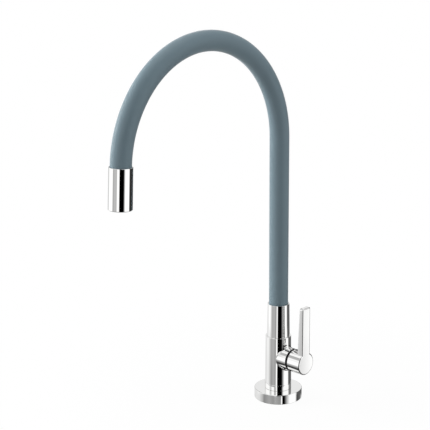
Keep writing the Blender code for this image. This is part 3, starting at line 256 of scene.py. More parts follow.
def smooth(mesh):
    """Shades a mesh smooth up to its sharp edges."""
    mesh.shade_smooth()
    mesh.set_sharp_from_angle(angle=SHARP)
    return mesh


def loft(name, rings, closed=True):
    """A skin over rings of equally many points. Closed, the last ring joins the first; otherwise
    each end is capped."""
    shape = bmesh.new()
    rows = [[shape.verts.new(point) for point in ring] for ring in rings]
    pairs = list(zip(rows, rows[1:]))
    if closed:
        pairs.append((rows[-1], rows[0]))
    for row, following in pairs:
        for i in range(len(row)):
            shape.faces.new((row[i - 1], row[i], following[i], following[i - 1]))
    if not closed:
        shape.faces.new(rows[0])
        shape.faces.new(reversed(rows[-1]))
    bmesh.ops.recalc_face_normals(shape, faces=shape.faces)
    mesh = bpy.data.meshes.new(name)
    shape.to_mesh(mesh)
    shape.free()
    return smooth(mesh)


def circle(origin, axis, height, radius, steps):
    """A ring of points round an axis."""
    across = (RIGHT if abs(axis.x) < 0.5 else UP).cross(axis).normalized()
    along = axis.cross(across)
    turn = 2 * math.pi / steps
    centre = origin + axis * height
    return [
        centre + radius * (math.cos(i * turn) * across + math.sin(i * turn) * along)
        for i in range(steps)
    ]


def level_circle(height, radius, steps):
    """A level ring of points that starts on the +X side, which threads and hexagons go by."""
    turn = 2 * math.pi / steps
    return [
        Vector((radius * math.cos(i * turn), radius * math.sin(i * turn), height))
        for i in range(steps)
    ]


def turned(name, corners, origin=Vector(), axis=UP):
    """A ring-shaped mesh turned from the closed profile of its wall."""
    return loft(name, [circle(origin, axis, p.y, p.x, TURN_STEPS) for p in rounded(corners)])


def combined(mesh, other, operation):
    """One mesh from two by an exact Boolean."""
    pair = [bpy.data.objects.new(part.name, part) for part in (mesh, other)]
    for obj in pair:
        bpy.context.scene.collection.objects.link(obj)
    change = pair[0].modifiers.new("Combine", "BOOLEAN")
    change.operation = operation
    change.solver = "EXACT"
    change.object = pair[1]
    bpy.context.view_layer.update()
    graph = bpy.context.evaluated_depsgraph_get()
    result = bpy.data.meshes.new_from_object(pair[0].evaluated_get(graph))
    result.name = mesh.name
    for obj in pair:
        bpy.data.objects.remove(obj, do_unlink=True)
    return smooth(result)


# Finishes


class Value:
    """A number on a node's socket. Sums with it are written as Python sums."""

    def __init__(self, nodes, socket):
        self.nodes = nodes
        self.socket = socket

    def maths(self, operation, first, second):
        """One operation of the Math node on two numbers or values."""
        return self.nodes.node("Math", {"operation": operation}, {0: first, 1: second})

    def __add__(self, other):
        return self.maths("ADD", self, other)

    def __radd__(self, other):
        return self.maths("ADD", other, self)

    def __sub__(self, other):
        return self.maths("SUBTRACT", self, other)

    def __rsub__(self, other):
        return self.maths("SUBTRACT", other, self)

    def __mul__(self, other):
        return self.maths("MULTIPLY", self, other)

    def __rmul__(self, other):
        return self.maths("MULTIPLY", other, self)

    def __truediv__(self, other):
        return self.maths("DIVIDE", self, other)

    def __rtruediv__(self, other):
        return self.maths("DIVIDE", other, self)

    def __neg__(self):
        return self.maths("MULTIPLY", self, -1.0)

    def step(self, low, high):
        """0 below low, 1 above high, and smooth between."""
        settings = {"interpolation_type": "SMOOTHSTEP"}
        inputs = {"Value": self, "From Min": low, "From Max": high}
        return self.nodes.node("MapRange", settings, inputs)


class Nodes:
    """The node tree of a material or a world, emptied."""

    def __init__(self, owner):
        owner.use_nodes = True
        self.tree = owner.node_tree
        self.tree.nodes.clear()

    def node(self, kind, settings=None, inputs=None, output=0):
        """Adds a node: its settings first, then the values or links of its sockets."""
        made = self.tree.nodes.new("ShaderNode" + kind)
        for key, value in (settings or {}).items():
            if key == "stops":
                self.set_stops(made.color_ramp, value)
            else:
                setattr(made, key, value)
        for key, value in (inputs or {}).items():
            if isinstance(value, Value):
                self.tree.links.new(value.socket, made.inputs[key])
            else:
                made.inputs[key].default_value = value
        return Value(self, made.outputs[output]) if made.outputs else None

    @staticmethod
    def set_stops(ramp, stops):
        """Gives a colour ramp its places and greys."""
        while len(ramp.elements) > 1:
            ramp.elements.remove(ramp.elements[-1])
        for i, (position, level) in enumerate(stops):
            element = ramp.elements[0] if i == 0 else ramp.elements.new(position)
            element.position = position
            element.color = (level, level, level, 1)

    def mix(self, share, first, second):
        """A colour between two colours."""
        node = self.node("Mix", {"data_type": "RGBA"}, {"Factor": share}).socket.node
        for socket, value in ((node.inputs[6], first), (node.inputs[7], second)):
            if isinstance(value, Value):
                self.tree.links.new(value.socket, socket)
            else:
                socket.default_value = (*value, 1)
        return Value(self, node.outputs[2])

    def place(self):
        """Object coordinates, in metres."""
        return self.node("TexCoord", output="Object")

    def stretched(self, scale):
        """Object coordinates scaled by different amounts along X, Y and Z."""
        return self.node("Mapping", {}, {"Vector": self.place(), "Scale": scale})

    def noise(self, scale, detail, roughness=0.5, place=None):
        """Noise from 0 to 1, with the scale as patches in a metre."""
        inputs = {"Scale": scale, "Detail": detail, "Roughness": roughness}
        return self.node("TexNoise", {}, {"Vector": place or self.place(), **inputs})

    def bump(self, height, distance, strength):
        """The normal of a surface with small heights, of a distance in metres."""
        inputs = {"Height": height, "Distance": distance, "Strength": strength}
        return self.node("Bump", {}, inputs)


def surfaced(name, inputs_of):
    """A material whose Principled shader takes the sockets that a function of its nodes gives."""
    made = bpy.data.materials.new(name)
    nodes = Nodes(made)
    shader = nodes.node("BsdfPrincipled", {}, inputs_of(nodes))
    nodes.node("OutputMaterial", {}, {"Surface": shader})
    return made


def chrome_inputs(nodes):
    """Bright polished plating: a trace of haze, and the faintest waviness of the polish."""
    haze = nodes.noise(45.0, 4.0, 0.6)
    wave = nodes.noise(45.0, 1.0)
    return {
        "Base Color": nodes.mix(haze, (0.916, 0.916, 0.908), (0.937, 0.937, 0.932)),
        "Metallic": 1.0,
        "Roughness": 0.02 + 0.006 * haze,
        "Normal": nodes.bump(wave, 0.01 * MM, 0.1),
    }


def brass_inputs(nodes):
    """Turned brass: fine rings from the lathe and duller patches."""
    lines = nodes.noise(1.0, 2.0, 0.6, nodes.stretched((60.0, 60.0, 5200.0)))
    patches = nodes.noise(90.0, 4.0)
    return {
        "Base Color": nodes.mix(patches, (0.60, 0.42, 0.19), (0.76, 0.58, 0.31)),
        "Metallic": 1.0,
        "Roughness": 0.22 + 0.18 * patches,
        "Normal": nodes.bump(lines, 0.02 * MM, 0.4),
    }


def steel_inputs(nodes):
    """Plain stainless steel with a fine drawn grain."""
    grain = nodes.noise(1.0, 3.0, 0.6, nodes.stretched((3500.0, 3500.0, 60.0)))
    return {
        "Base Color": nodes.mix(grain, (0.50, 0.50, 0.49), (0.62, 0.62, 0.61)),
        "Metallic": 1.0,
        "Roughness": 0.24 + 0.14 * grain,
        "Normal": nodes.bump(grain, 0.015 * MM, 0.35),
    }


def silicone_inputs(nodes):
    """Matt grey-blue silicone: a soft skin with a fine grain and slight cloudiness."""
    cloud = nodes.noise(38.0, 3.0, 0.55)
    grain = nodes.noise(2600.0, 2.0, 0.6)
    return {
        "Base Color": nodes.mix(cloud, (0.126, 0.182, 0.213), (0.139, 0.199, 0.232)),
        "Roughness": 0.46 + 0.08 * cloud + 0.04 * grain,
        "Specular IOR Level": 0.5,
        "Sheen Weight": 0.3,
        "Sheen Roughness": 0.4,
        "Normal": nodes.bump(grain, 0.02 * MM, 0.3),
    }


def rubber_inputs(nodes):
    """Black moulded rubber with a fine grain."""
    grain = nodes.noise(1800.0, 3.0, 0.6)
    cloud = nodes.noise(70.0, 2.0)
    return {
        "Base Color": nodes.mix(cloud, (0.004, 0.004, 0.004), (0.009, 0.009, 0.010)),
        "Roughness": 0.55 + 0.15 * grain,
        "Specular IOR Level": 0.06,
        "Normal": nodes.bump(grain, 0.03 * MM, 0.4),
    }


def white_plastic_inputs(nodes):
    """Moulded acetal: off-white, with a satin skin."""
    cloud = nodes.noise(60.0, 2.0)
    grain = nodes.noise(1500.0, 3.0)
    return {
        "Base Color": nodes.mix(cloud, (0.74, 0.73, 0.69), (0.82, 0.81, 0.77)),
        "Roughness": 0.38 + 0.12 * grain,
        "Normal": nodes.bump(grain, 0.01 * MM, 0.3),
    }


def ceramic_inputs(nodes):
    """Lapped aluminium oxide, with a trace of grey speckle."""
    speckle = nodes.noise(900.0, 4.0).step(0.55, 0.75)
    return {
        "Base Color": nodes.mix(speckle, (0.87, 0.85, 0.81), (0.78, 0.76, 0.72)),
        "Roughness": 0.14 + 0.08 * speckle,
    }


def hose_inputs(nodes):
    """Smooth dark hose with the faint spiral of its inner plies."""
    inputs = {"Vector": nodes.place(), "Scale": 160.0, "Distortion": 0.4}
    spiral = nodes.node("TexWave", {"bands_direction": "Z"}, inputs)
    cloud = nodes.noise(80.0, 2.0)
    return {
        "Base Color": nodes.mix(cloud, (0.042, 0.060, 0.078), (0.058, 0.080, 0.102)),
        "Roughness": 0.42 + 0.12 * spiral,
        "Normal": nodes.bump(spiral, 0.05 * MM, 0.5),
    }


FINISHES = {
    "chrome": surfaced("polished_chrome", chrome_inputs),
    "brass": surfaced("turned_brass", brass_inputs),
    "stainless_steel": surfaced("drawn_steel", steel_inputs),
    "silicone": surfaced("matt_silicone", silicone_inputs),
    "black_rubber": surfaced("black_rubber", rubber_inputs),
    "white_plastic": surfaced("white_acetal", white_plastic_inputs),
    "ceramic": surfaced("lapped_ceramic", ceramic_inputs),
    "hose_rubber": surfaced("inner_hose", hose_inputs),
}


def dress_nodes():
    """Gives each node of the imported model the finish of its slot."""
    slots = {subpart["node"]: subpart["material_slot"] for subpart in frame["record"]["subparts"]}
    for node, obj in frame["nodes"].items():
        obj.data.materials.clear()
        obj.data.materials.append(FINISHES[slots[node]])


def fitted(name, mesh, finish, body, *nodes):
    """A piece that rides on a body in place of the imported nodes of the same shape."""
    obj = piece(name, mesh, finish)
    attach(obj, body)
    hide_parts(*nodes)
    return obj


# Deck

BODY = Span("tap_body")


def make_deck():
    """The flange with the seal's groove in its underside, and the low ring on it."""
    flange = Span("deck_flange")
    seal = Span("deck_seal")
    corners = [
        (flange.bore, flange.high),
        (flange.radius, flange.high, FLANGE_TOP_EDGE),
        (flange.radius, flange.low, FLANGE_FOOT_EDGE),
        (seal.radius + FIT, flange.low),
        (seal.radius + FIT, SEAL_GROOVE_DEPTH),
        (seal.bore - FIT, SEAL_GROOVE_DEPTH),
        (seal.bore - FIT, flange.low),
        (flange.bore, flange.low),
    ]
    fitted("flange_shell", turned("flange_shell", corners), "chrome", "tap_base", "deck_flange")
    foot = Span("foot_ring")
    top = BODY.low + BODY_LOW_EDGE / 2
    corners = [
        (foot.bore, top),
        (foot.radius, top, FOOT_RING_EDGE),
        (foot.radius, foot.low - JOINT_CLOSE, FOOT_RING_LOW_EDGE),
        (foot.bore, foot.low - JOINT_CLOSE),
    ]
    fitted("foot_ring_shell", turned("foot_ring_shell", corners), "chrome", "tap_base", "foot_ring")


# Body and boss

LEVER_CENTRE = Vector(JOINTS["lever_turn"]["pos_m"])
BODY_TOP_RADIUS = BODY.radius_at(BODY.high - SOLID_BODY_EDGE)
BODY_FOOT_RADIUS = BODY.radius_at(BODY.low + SOLID_BODY_EDGE)
BOSS_RING = Span("boss_ring", LEVER_CENTRE, RIGHT)
LEVER_BACK = Span("lever_handle", LEVER_CENTRE, RIGHT).low + RING_REVEAL
BOSS_END = BOSS_RING.low - RING_REVEAL


def body_radius(height):
    """The radius of the tapered body at a height."""
    share = (height - BODY.low) / (BODY.high - BODY.low)
    return BODY_FOOT_RADIUS + share * (BODY_TOP_RADIUS - BODY_FOOT_RADIUS)


def on_body(angle, radius):
    """The point of the body's side that lies on a cylinder round the boss's axis."""
    across = radius * math.cos(angle)
    height = LEVER_CENTRE.z + radius * math.sin(angle)
    return Vector((math.sqrt(body_radius(height) ** 2 - across**2), across, height))


def boss_mesh(radius):
    """The boss: a tube that flows from the body's side in a small fillet and ends square."""
    angles = [2 * math.pi * i / TURN_STEPS for i in range(TURN_STEPS)]

    def ring_at(reach, size):
        """A ring round the boss's axis, at a reach along it."""
        return [
            Vector((reach, size * math.cos(angle), LEVER_CENTRE.z + size * math.sin(angle)))
            for angle in angles
        ]

    rings = [
        ring_at(BOSS_END, VALVE_CHAMBER_RADIUS),
        ring_at(0, VALVE_CHAMBER_RADIUS),
        ring_at(0, radius),
    ]
    # The fillet curves from the body's side to the tube, drawn towards the corner between them
    for i in range(ARC_STEPS + 1):
        share = i / ARC_STEPS
        ring = []
        for angle in angles:
            corner = on_body(angle, radius)
            between = math.acos(corner.y * math.cos(angle) / Vector((corner.x, corner.y)).length)
            reach = BOSS_FILLET * math.tan(between / 2)
            low = on_body(angle, radius + reach)
            high = corner + RIGHT * reach
            low = low - Vector((low.x, low.y, 0)).normalized() * SINK
            pull = 2 * share * (1 - share)
            ring.append((1 - share) ** 2 * low + pull * corner + share**2 * high)
        rings.append(ring)
    side, rim, middle = (radius, 0), (radius, BOSS_END), (0, BOSS_END)
    for point in fillet(Vector(side), Vector(rim), Vector(middle), BOSS_EDGE):
        rings.append(ring_at(point.y, point.x))
    return loft("boss_shell", rings)


def make_body():
    """The tapered body, its side boss and the black ring on the boss."""
    floor = BODY.high - SWIVEL_SOCKET_DEPTH
    shank = Span("inlet_shank")
    socket = shank.radius + FIT
    socket_top = BODY.low + SHANK_SOCKET_DEPTH
    outer = [
        (BODY_CORE, floor),
        (SLIDE_SEAT_RADIUS, floor),
        (SLIDE_SEAT_RADIUS, BODY.high, BORE_EDGE),
        (BODY_TOP_RADIUS, BODY.high, BODY_TOP_EDGE),
        (BODY_FOOT_RADIUS, BODY.low, BODY_LOW_EDGE),
        (socket, BODY.low),
        (socket, socket_top),
        (BODY_CORE, socket_top),
    ]
    fitted("body_shell", turned("body_shell", outer), "chrome", "tap_base", "tap_body")
    # The boss's radius, from the solid's points that stand out past the tapered side
    boss_radius = max(
        math.hypot(vertex.co.y, vertex.co.z - LEVER_CENTRE.z)
        for vertex in frame["nodes"]["tap_body"].data.vertices
        if vertex.co.x > BODY_FOOT_RADIUS + OVERRUN
    )
    boss = piece("boss_shell", boss_mesh(boss_radius), "chrome")
    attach(boss, "tap_base")
    lip = BOSS_RING.radius + RING_LIP
    far = LEVER_BACK - RING_CREVICE
    near = BOSS_END + RING_CREVICE
    corners = [
        (lip, far, RING_EDGE),
        (lip, near, RING_EDGE),
        (BOSS_RING.bore, near),
        (BOSS_RING.bore, far),
    ]
    ring = turned("boss_seal_ring", corners, LEVER_CENTRE, RIGHT)
    fitted("boss_seal_ring", ring, "black_rubber", "tap_base", "boss_ring")


# Inlet shank and its clamp


def thread_height(angle, height, low, high):
    """How deep a thread's groove is at a place on its cylinder, from 0 to 1."""
    turn = (height / THREAD_PITCH - angle / (2 * math.pi)) % 1
    wave = abs(2 * turn - 1)
    runout = min(1.0, (height - low) / THREAD_RUNOUT, (high - height) / THREAD_RUNOUT)
    return wave * max(0.0, runout)


def shank_rings():
    """The inlet pipe's rings from its lower end to its upper, with the thread's ribs between."""
    shank = Span("inlet_shank")
    low = shank.low + NUT_CHAMFER / 2
    high = -THREAD_PITCH
    count = int((high - low) / THREAD_PITCH * THREAD_ROWS)
    turn = 2 * math.pi / THREAD_STEPS
    rings = [level_circle(shank.low, shank.bore, THREAD_STEPS)]
    rings.append(level_circle(shank.low, shank.radius - THREAD_DEPTH, THREAD_STEPS))
    for i in range(count + 1):
        height = low + (high - low) * i / count
        ring = []
        for j in range(THREAD_STEPS):
            radius = shank.radius - THREAD_DEPTH * thread_height(j * turn, height, low, high)
            ring.append(Vector((radius * math.cos(j * turn), radius * math.sin(j * turn), height)))
        rings.append(ring)
    for height, radius in (
        (shank.high - SHANK_TOP_EDGE, shank.radius),
        (shank.high, shank.radius - SHANK_TOP_EDGE),
        (shank.high, shank.bore),
    ):
        rings.append(level_circle(height, radius, THREAD_STEPS))
    return rings


def nut_rings():
    """The hexagon nut's rings: a bored face above and one below, each with chamfered corners."""
    nut = Span("backnut")
    rings = []
    corner = nut.radius
    side_angle = math.pi / 3
    flat = corner * math.cos(side_angle / 2)
    turn = 2 * math.pi / TURN_STEPS
    for height, side in ((nut.high, -1), (nut.low, 1)):
        chamfer = []
        for i in range(TURN_STEPS):
            angle = (i * turn) % side_angle - side_angle / 2
            radius = flat / math.cos(angle)
            drop = side * NUT_CHAMFER * (radius - flat) / (corner - flat)
            across = radius * math.cos(i * turn)
            chamfer.append(Vector((across, radius * math.sin(i * turn), height + drop)))
        face = [
            level_circle(height, nut.bore, TURN_STEPS),
            level_circle(height, flat - SUPPORT, TURN_STEPS),
            chamfer,
        ]
        rings += face if side < 0 else reversed(face)
    return rings


def make_shank():
    """The threaded inlet pipe, with the hexagon nut and the washers that clamp the worktop."""
    fitted("shank_thread", loft("shank_thread", shank_rings()), "brass", "tap_base", "inlet_shank")
    fitted("backnut_hexagon", loft("backnut_hexagon", nut_rings()), "brass", "tap_base", "backnut")
    for node, finish in (("rubber_washer", "black_rubber"), ("steel_washer", "stainless_steel")):
        washer = Span(node)
        corners = [
            (washer.bore, washer.high),
            (washer.radius, washer.high, RING_EDGE),
            (washer.radius, washer.low, RING_EDGE),
            (washer.bore, washer.low),
        ]
        fitted(node + "_disc", turned(node + "_disc", corners), finish, "tap_base", node)


# Lever


def blade_outline(tip, inset):
    """The blade seen from the front, smaller by an inset all round: straight sides that close in
    a little, and a tip with rounded corners."""
    foot = LEVER_CENTRE.z
    half = BLADE_WIDTH / 2 - inset
    tip_half = BLADE_TIP_WIDTH / 2 - inset
    corner = BLADE_CORNER - inset
    top = tip - inset
    points = [(-half, foot)]
    for i in range(2 * ARC_STEPS + 1):
        angle = math.pi / 2 * i / (2 * ARC_STEPS)
        across = -tip_half + corner * (1 - math.cos(angle))
        points.append((across, top - corner * (1 - math.sin(angle))))
    points += [(-y, z) for y, z in reversed(points)]
    return points


def blade_mesh(barrel):
    """The blade: chamfered edges, faintly crowned sides, and a depth that thins upwards behind a
    flat front."""
    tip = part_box("lever_handle")[1].z
    front = [
        (3 * BLADE_EDGE, 0),
        (BLADE_EDGE, 0, BLADE_EDGE_ROUND),
        (0, BLADE_EDGE, BLADE_SIDE_ROUND),
        (0, 3 * BLADE_EDGE),
    ]
    back = [(3 * BLADE_BACK_EDGE, 0), (0, 0, BLADE_BACK_EDGE), (0, 3 * BLADE_BACK_EDGE)]
    rows = [(0, p.y, p.x) for p in rounded(front, False)[1:-1]]
    rows += [(share, 0, -BLADE_CROWN * crown) for share, crown in BLADE_CROWNS]
    rows += [(1, -p.y, p.x) for p in reversed(rounded(back, False)[1:-1])]
    rings = []
    for share, step, inset in rows:
        ring = []
        for y, z in blade_outline(tip, inset):
            rise = (z - LEVER_CENTRE.z) / (tip - LEVER_CENTRE.z)
            depth = BLADE_DEPTH + rise * (BLADE_TIP_DEPTH - BLADE_DEPTH)
            ring.append(Vector((barrel.high - BLADE_SET_BACK - share * depth - step, y, z)))
        rings.append(ring)
    return loft("blade", rings, False)


def make_lever():
    """The barrel with its cavity, the blade, and the hole of the grub screw below."""
    handle = Span("lever_handle", LEVER_CENTRE, RIGHT)
    # The barrel's radius, from its lowest point, because the blade reaches further above
    radius = LEVER_CENTRE.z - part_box("lever_handle")[0].z
    floor = LEVER_BACK + LEVER_CAVITY_DEPTH
    corners = [
        (LEVER_CORE, handle.high),
        (radius - LEVER_CHAMFER, handle.high, LEVER_FRONT_ROUND),
        (radius, handle.high - LEVER_CHAMFER, LEVER_RIM),
        (radius, LEVER_BACK, LEVER_BACK_EDGE),
        (BOSS_RING.bore, LEVER_BACK),
        (BOSS_RING.bore, floor),
        (LEVER_CORE, floor),
    ]
    profile = rounded(corners, False)
    rings = [circle(LEVER_CENTRE, RIGHT, p.y, p.x, TURN_STEPS) for p in profile]
    barrel = loft("lever", rings, False)
    mesh = combined(barrel, blade_mesh(handle), "UNION")
    screw_low, screw_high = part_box("lever_screw")
    middle = (screw_low + screw_high) / 2
    bottom = Vector((middle.x, 0, LEVER_CENTRE.z - radius - OVERRUN))
    ends = (0, radius / 2 + OVERRUN)
    hole = [circle(bottom, UP, height, SCREW_HOLE_RADIUS, HOLE_SIDES) for height in ends]
    mesh = combined(mesh, loft("hole", hole, False), "DIFFERENCE")
    lever = fitted("lever_shell", mesh, "chrome", "lever", "lever_handle")
    lever.modifiers.new("Flat faces", "WEIGHTED_NORMAL").keep_sharp = True


# Collar, spout and head


def make_collar():
    """The tapered sleeve that turns on the body and holds the skin's foot."""
    collar = Span("spout_collar")
    skin = SPOUT_SKIN.radius
    top_radius = collar.radius_at(collar.high - SOLID_COLLAR_EDGE)
    corners = [
        (skin + FIT, collar.high, BORE_EDGE),
        (top_radius, collar.high, COLLAR_EDGE),
        (collar.radius, collar.low - JOINT_CLOSE, COLLAR_EDGE),
        (collar.bore, collar.low - JOINT_CLOSE),
        (collar.bore, SPOUT_SKIN.low - FIT),
        (skin + FIT, SPOUT_SKIN.low - FIT),
    ]
    fitted("collar_shell", turned("collar_shell", corners), "chrome", "spout_base", "spout_collar")


class Route:
    """The spout's middle line: up the riser, round the arch and down into the head."""

    def __init__(self, low, depth):
        self.low = low
        self.depth = depth
        self.arch = ARCH_RADIUS * ARCH_SWEEP
        self.length = RISER_TOP - low + self.arch + depth

    def at(self, reach):
        """A point, and the direction of the line there, at a distance along it."""
        past = reach - (RISER_TOP - self.low)
        if past <= 0:
            return Vector((0, 0, self.low + reach)), UP.copy()
        angle = min(past, self.arch) / ARCH_RADIUS
        height = RISER_TOP + ARCH_RADIUS * math.sin(angle)
        point = Vector((0, ARCH_RADIUS * (math.cos(angle) - 1), height))
        heading = Vector((0, -math.sin(angle), math.cos(angle)))
        return point + heading * max(0.0, past - self.arch), heading

    def ring(self, reach, radius, sides):
        """A ring of points square to the line."""
        point, heading = self.at(reach)
        inwards = heading.cross(RIGHT)
        turn = 2 * math.pi / sides
        return [
            point + radius * (math.cos(i * turn) * RIGHT + math.sin(i * turn) * inwards)
            for i in range(sides)
        ]

    def tube(self, name, radius, wall, sides):
        """A tube along the whole line with rounded end rims."""
        edge = TUBE_END_EDGE
        count = round(self.length / ROUTE_STEP)
        angles = [i * math.pi / 2 / ARC_STEPS for i in range(ARC_STEPS + 1)]
        rounds = [(edge * (1 - math.cos(a)), edge * (1 - math.sin(a))) for a in angles]
        outer = [(along, radius - drop) for along, drop in rounds]
        outer += [(edge + (self.length - 2 * edge) * i / count, radius) for i in range(1, count)]
        outer += [(self.length - along, radius - drop) for along, drop in reversed(rounds)]
        inner = [(self.length * i / count, radius - wall) for i in range(count, -1, -1)]
        return loft(name, [self.ring(reach, size, sides) for reach, size in outer + inner])


SPOUT_SKIN = Span("silicone_sleeve")
# The skin's own radius, from its reach to the side, because the arch takes it far from the axis
SPOUT_SKIN.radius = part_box("silicone_sleeve")[1].x
HEAD_AXIS = Vector(MOUNTS["outlet_rim"]["axis"]).normalized()
HEAD_CENTRE = Route(RISER_TOP, 0).at(ARCH_RADIUS * ARCH_SWEEP)[0]


def make_spout():
    """The silicone skin and the water hose, which bend between the collar and the head."""
    route = Route(SPOUT_SKIN.low, HEAD_GRIP - FIT)
    mesh = route.tube("spout_skin", SPOUT_SKIN.radius, SKIN_WALL, TUBE_SIDES)
    skin = piece("spout_skin", mesh, "silicone")
    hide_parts("silicone_sleeve")
    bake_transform(skin)
    hose_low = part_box("water_hose")[0].z
    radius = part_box("water_hose")[1].x
    route = Route(hose_low, HOSE_DEPTH)
    mesh = route.tube("inner_hose", radius, HOSE_WALL, TUBE_SIDES // 2)
    hose = piece("inner_hose", mesh, "hose_rubber")
    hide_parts("water_hose")
    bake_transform(hose)


def make_head():
    """The outlet head, turned about its own leaning axis with its heights measured upwards from
    its foot."""
    up = -HEAD_AXIS
    head = Span("head_sleeve", HEAD_CENTRE, up)
    top_radius = head.radius_at(head.high - SOLID_COLLAR_EDGE)
    cavity = Span("aerator_housing", HEAD_CENTRE, up).radius + FIT
    corners = [
        (SPOUT_SKIN.radius + FIT, head.high, BORE_EDGE),
        (top_radius, head.high, HEAD_EDGE),
        (head.radius, head.low, HEAD_FOOT_EDGE),
        (cavity, head.low, BORE_EDGE),
        (cavity, head.low + HEAD_CAVITY),
        (head.bore, head.low + HEAD_CAVITY),
        (head.bore, head.high - HEAD_GRIP),
        (SPOUT_SKIN.radius + FIT, head.high - HEAD_GRIP),
    ]
    mesh = turned("head_shell", corners, HEAD_CENTRE, up)
    fitted("head_shell", mesh, "chrome", "outlet", "head_sleeve")


# Studio


def grey(level):
    """The linear light of a grey that a screen shows as 0 to 255."""
    share = level / 255
    return share / 12.92 if share <= 0.04045 else ((share + 0.055) / 1.055) ** 2.4


def make_camera():
    """The camera of the photo, as fitted to the tap's outlines in it."""
    camera = bpy.data.cameras.new("camera")
    camera.sensor_width = CAMERA_SENSOR
    camera.lens = CAMERA_LENS
    camera.clip_start, camera.clip_end = CAMERA_CLIP
    obj = bpy.data.objects.new("camera", camera)
    bpy.context.scene.collection.objects.link(obj)
    turn = Matrix.Rotation(CAMERA_AZIMUTH, 4, "Z")
    tilt = Matrix.Rotation(math.pi / 2 - CAMERA_ELEVATION, 4, "X")
    roll = Matrix.Rotation(CAMERA_ROLL, 4, "Z")
    obj.matrix_world = Matrix.Translation(CAMERA_PLACE) @ turn @ tilt @ roll
    bpy.context.scene.camera = obj


# What reflections show of the studio all round. Each band is an elevation from which it holds, the
# width in which the band below goes over into it, and the greys round the horizon in it: azimuth
# from -Y towards +X in degrees, and level. WHITE is past 255, to make up for the plating's tint.
# The stops were set one by one, until the chrome showed the levels that it shows in the photo.
WHITE = 260
STUDIO_BANDS = [
    (-90, 0, [
        (-180, 120), (-100, 155), (-68, 155), (-58, 60), (26, 60), (34, 0), (73, 0), (80, 40),
        (140, 40), (180, 100),
    ]),
    (-47, 5, [
        (-180, 15), (-160, 20), (-145, 85), (-118, 160), (-95, 160), (-72, 100), (-58, 62),
        (-46, 58), (-20, 95), (28, 100), (34, 0), (73, 0), (80, 60), (90, 40), (142, 40),
        (150, 20), (180, 15),
    ]),
    (-31, 14, [
        (-180, 110), (-168, 190), (-140, 208), (-85, 226), (-62, 220), (-41, 170), (-32, 140),
        (-2, 165), (28, 164), (34, 0), (73, 0), (80, 110), (101, WHITE), (134, WHITE), (146, 40),
        (156, 40), (180, 90),
    ]),
    (-25, 2, [
        (-180, 110), (-168, 190), (-140, 208), (-85, 226), (-62, 220), (-41, 184), (-36, 168),
        (-32, 138), (-2, 165), (18, 146), (29, 164), (54.5, 143), (57.5, WHITE), (60, WHITE),
        (63, 0), (73, 0), (78, 104), (89, 200), (101, WHITE), (134, WHITE), (146, 66), (156, 80),
        (180, 110),
    ]),
    (-23.05, 0.15, [
        (-180, 96), (-147, 96), (-137, 222), (-87, 224), (-64, 238), (-50, 224), (-41, 200),
        (-24, 150), (0, 170), (12, 156), (20, 160), (22.5, WHITE), (31, WHITE), (33, 0), (74, 0),
        (80, 128), (86, 165), (92, 225), (101, WHITE), (136, WHITE), (139, 130), (140.5, WHITE),
        (141.9, WHITE), (143.3, 92), (180, 90),
    ]),
    (-20.8, 1.2, [
        (-180, 96), (-147, 96), (-137, 222), (-87, 228), (-68, 248), (-50, 232), (-40, 200),
        (-26, 168), (0, 174), (12, 158), (20, 156), (24, WHITE), (32, WHITE), (34.5, 0), (74, 0),
        (78, 148), (90, 136), (94, 142), (100, 214), (109, 246), (115, WHITE), (136, WHITE),
        (139, 200), (140.5, WHITE), (141.9, WHITE), (143.3, 96), (180, 92),
    ]),
    (-19.1, 0.3, [
        (-180, 96), (-147, 96), (-137, 222), (-87, 234), (-76, 254), (-58, WHITE), (-50, 250),
        (-43, 226), (-36, 200), (-28, 170), (0, 174), (12, 158), (20, 156), (24, WHITE),
        (32, WHITE), (34.5, 0), (75, 0), (79, 148), (88, 134), (99, 122), (105, 190), (110, 250),
        (114, WHITE), (133, WHITE), (138, 236), (141, 98), (180, 92),
    ]),
    (-16.8, 1.6, [
        (-180, 44), (-137, 44), (-130, 180), (-95, 205), (-84, 236), (-76, WHITE), (-32, WHITE),
        (-26, 166), (-6, 190), (8, 182), (13, 190), (16, WHITE), (35, WHITE), (37.5, 0), (78, 0),
        (86, 195), (93, WHITE), (134.5, WHITE), (139.5, 50), (180, 42),
    ]),
    (11, 8, [
        (-180, 110), (-165, 170), (-150, 230), (-139, 231), (-120, 205), (-95, 236), (-80, WHITE),
        (-42, WHITE), (-33, 204), (-22, 214), (-12, WHITE), (2, WHITE), (10, 180), (20, 162),
        (23, WHITE), (32, WHITE), (34, 0), (73, 0), (82, 190), (91, WHITE), (140, WHITE),
        (147, 168), (165, 120), (180, 110),
    ]),
    (27, 8, [
        (-180, 120), (-150, 200), (-118, 140), (-72, 125), (-54, 175), (0, 200), (30, 215),
        (34, 0), (73, 0), (82, 240), (130, 248), (160, 130), (180, 120),
    ]),
    (45.3, 1.5, [
        (-180, 250), (28, 250), (34, 0), (73, 0), (80, 250), (180, 250),
    ]),
]


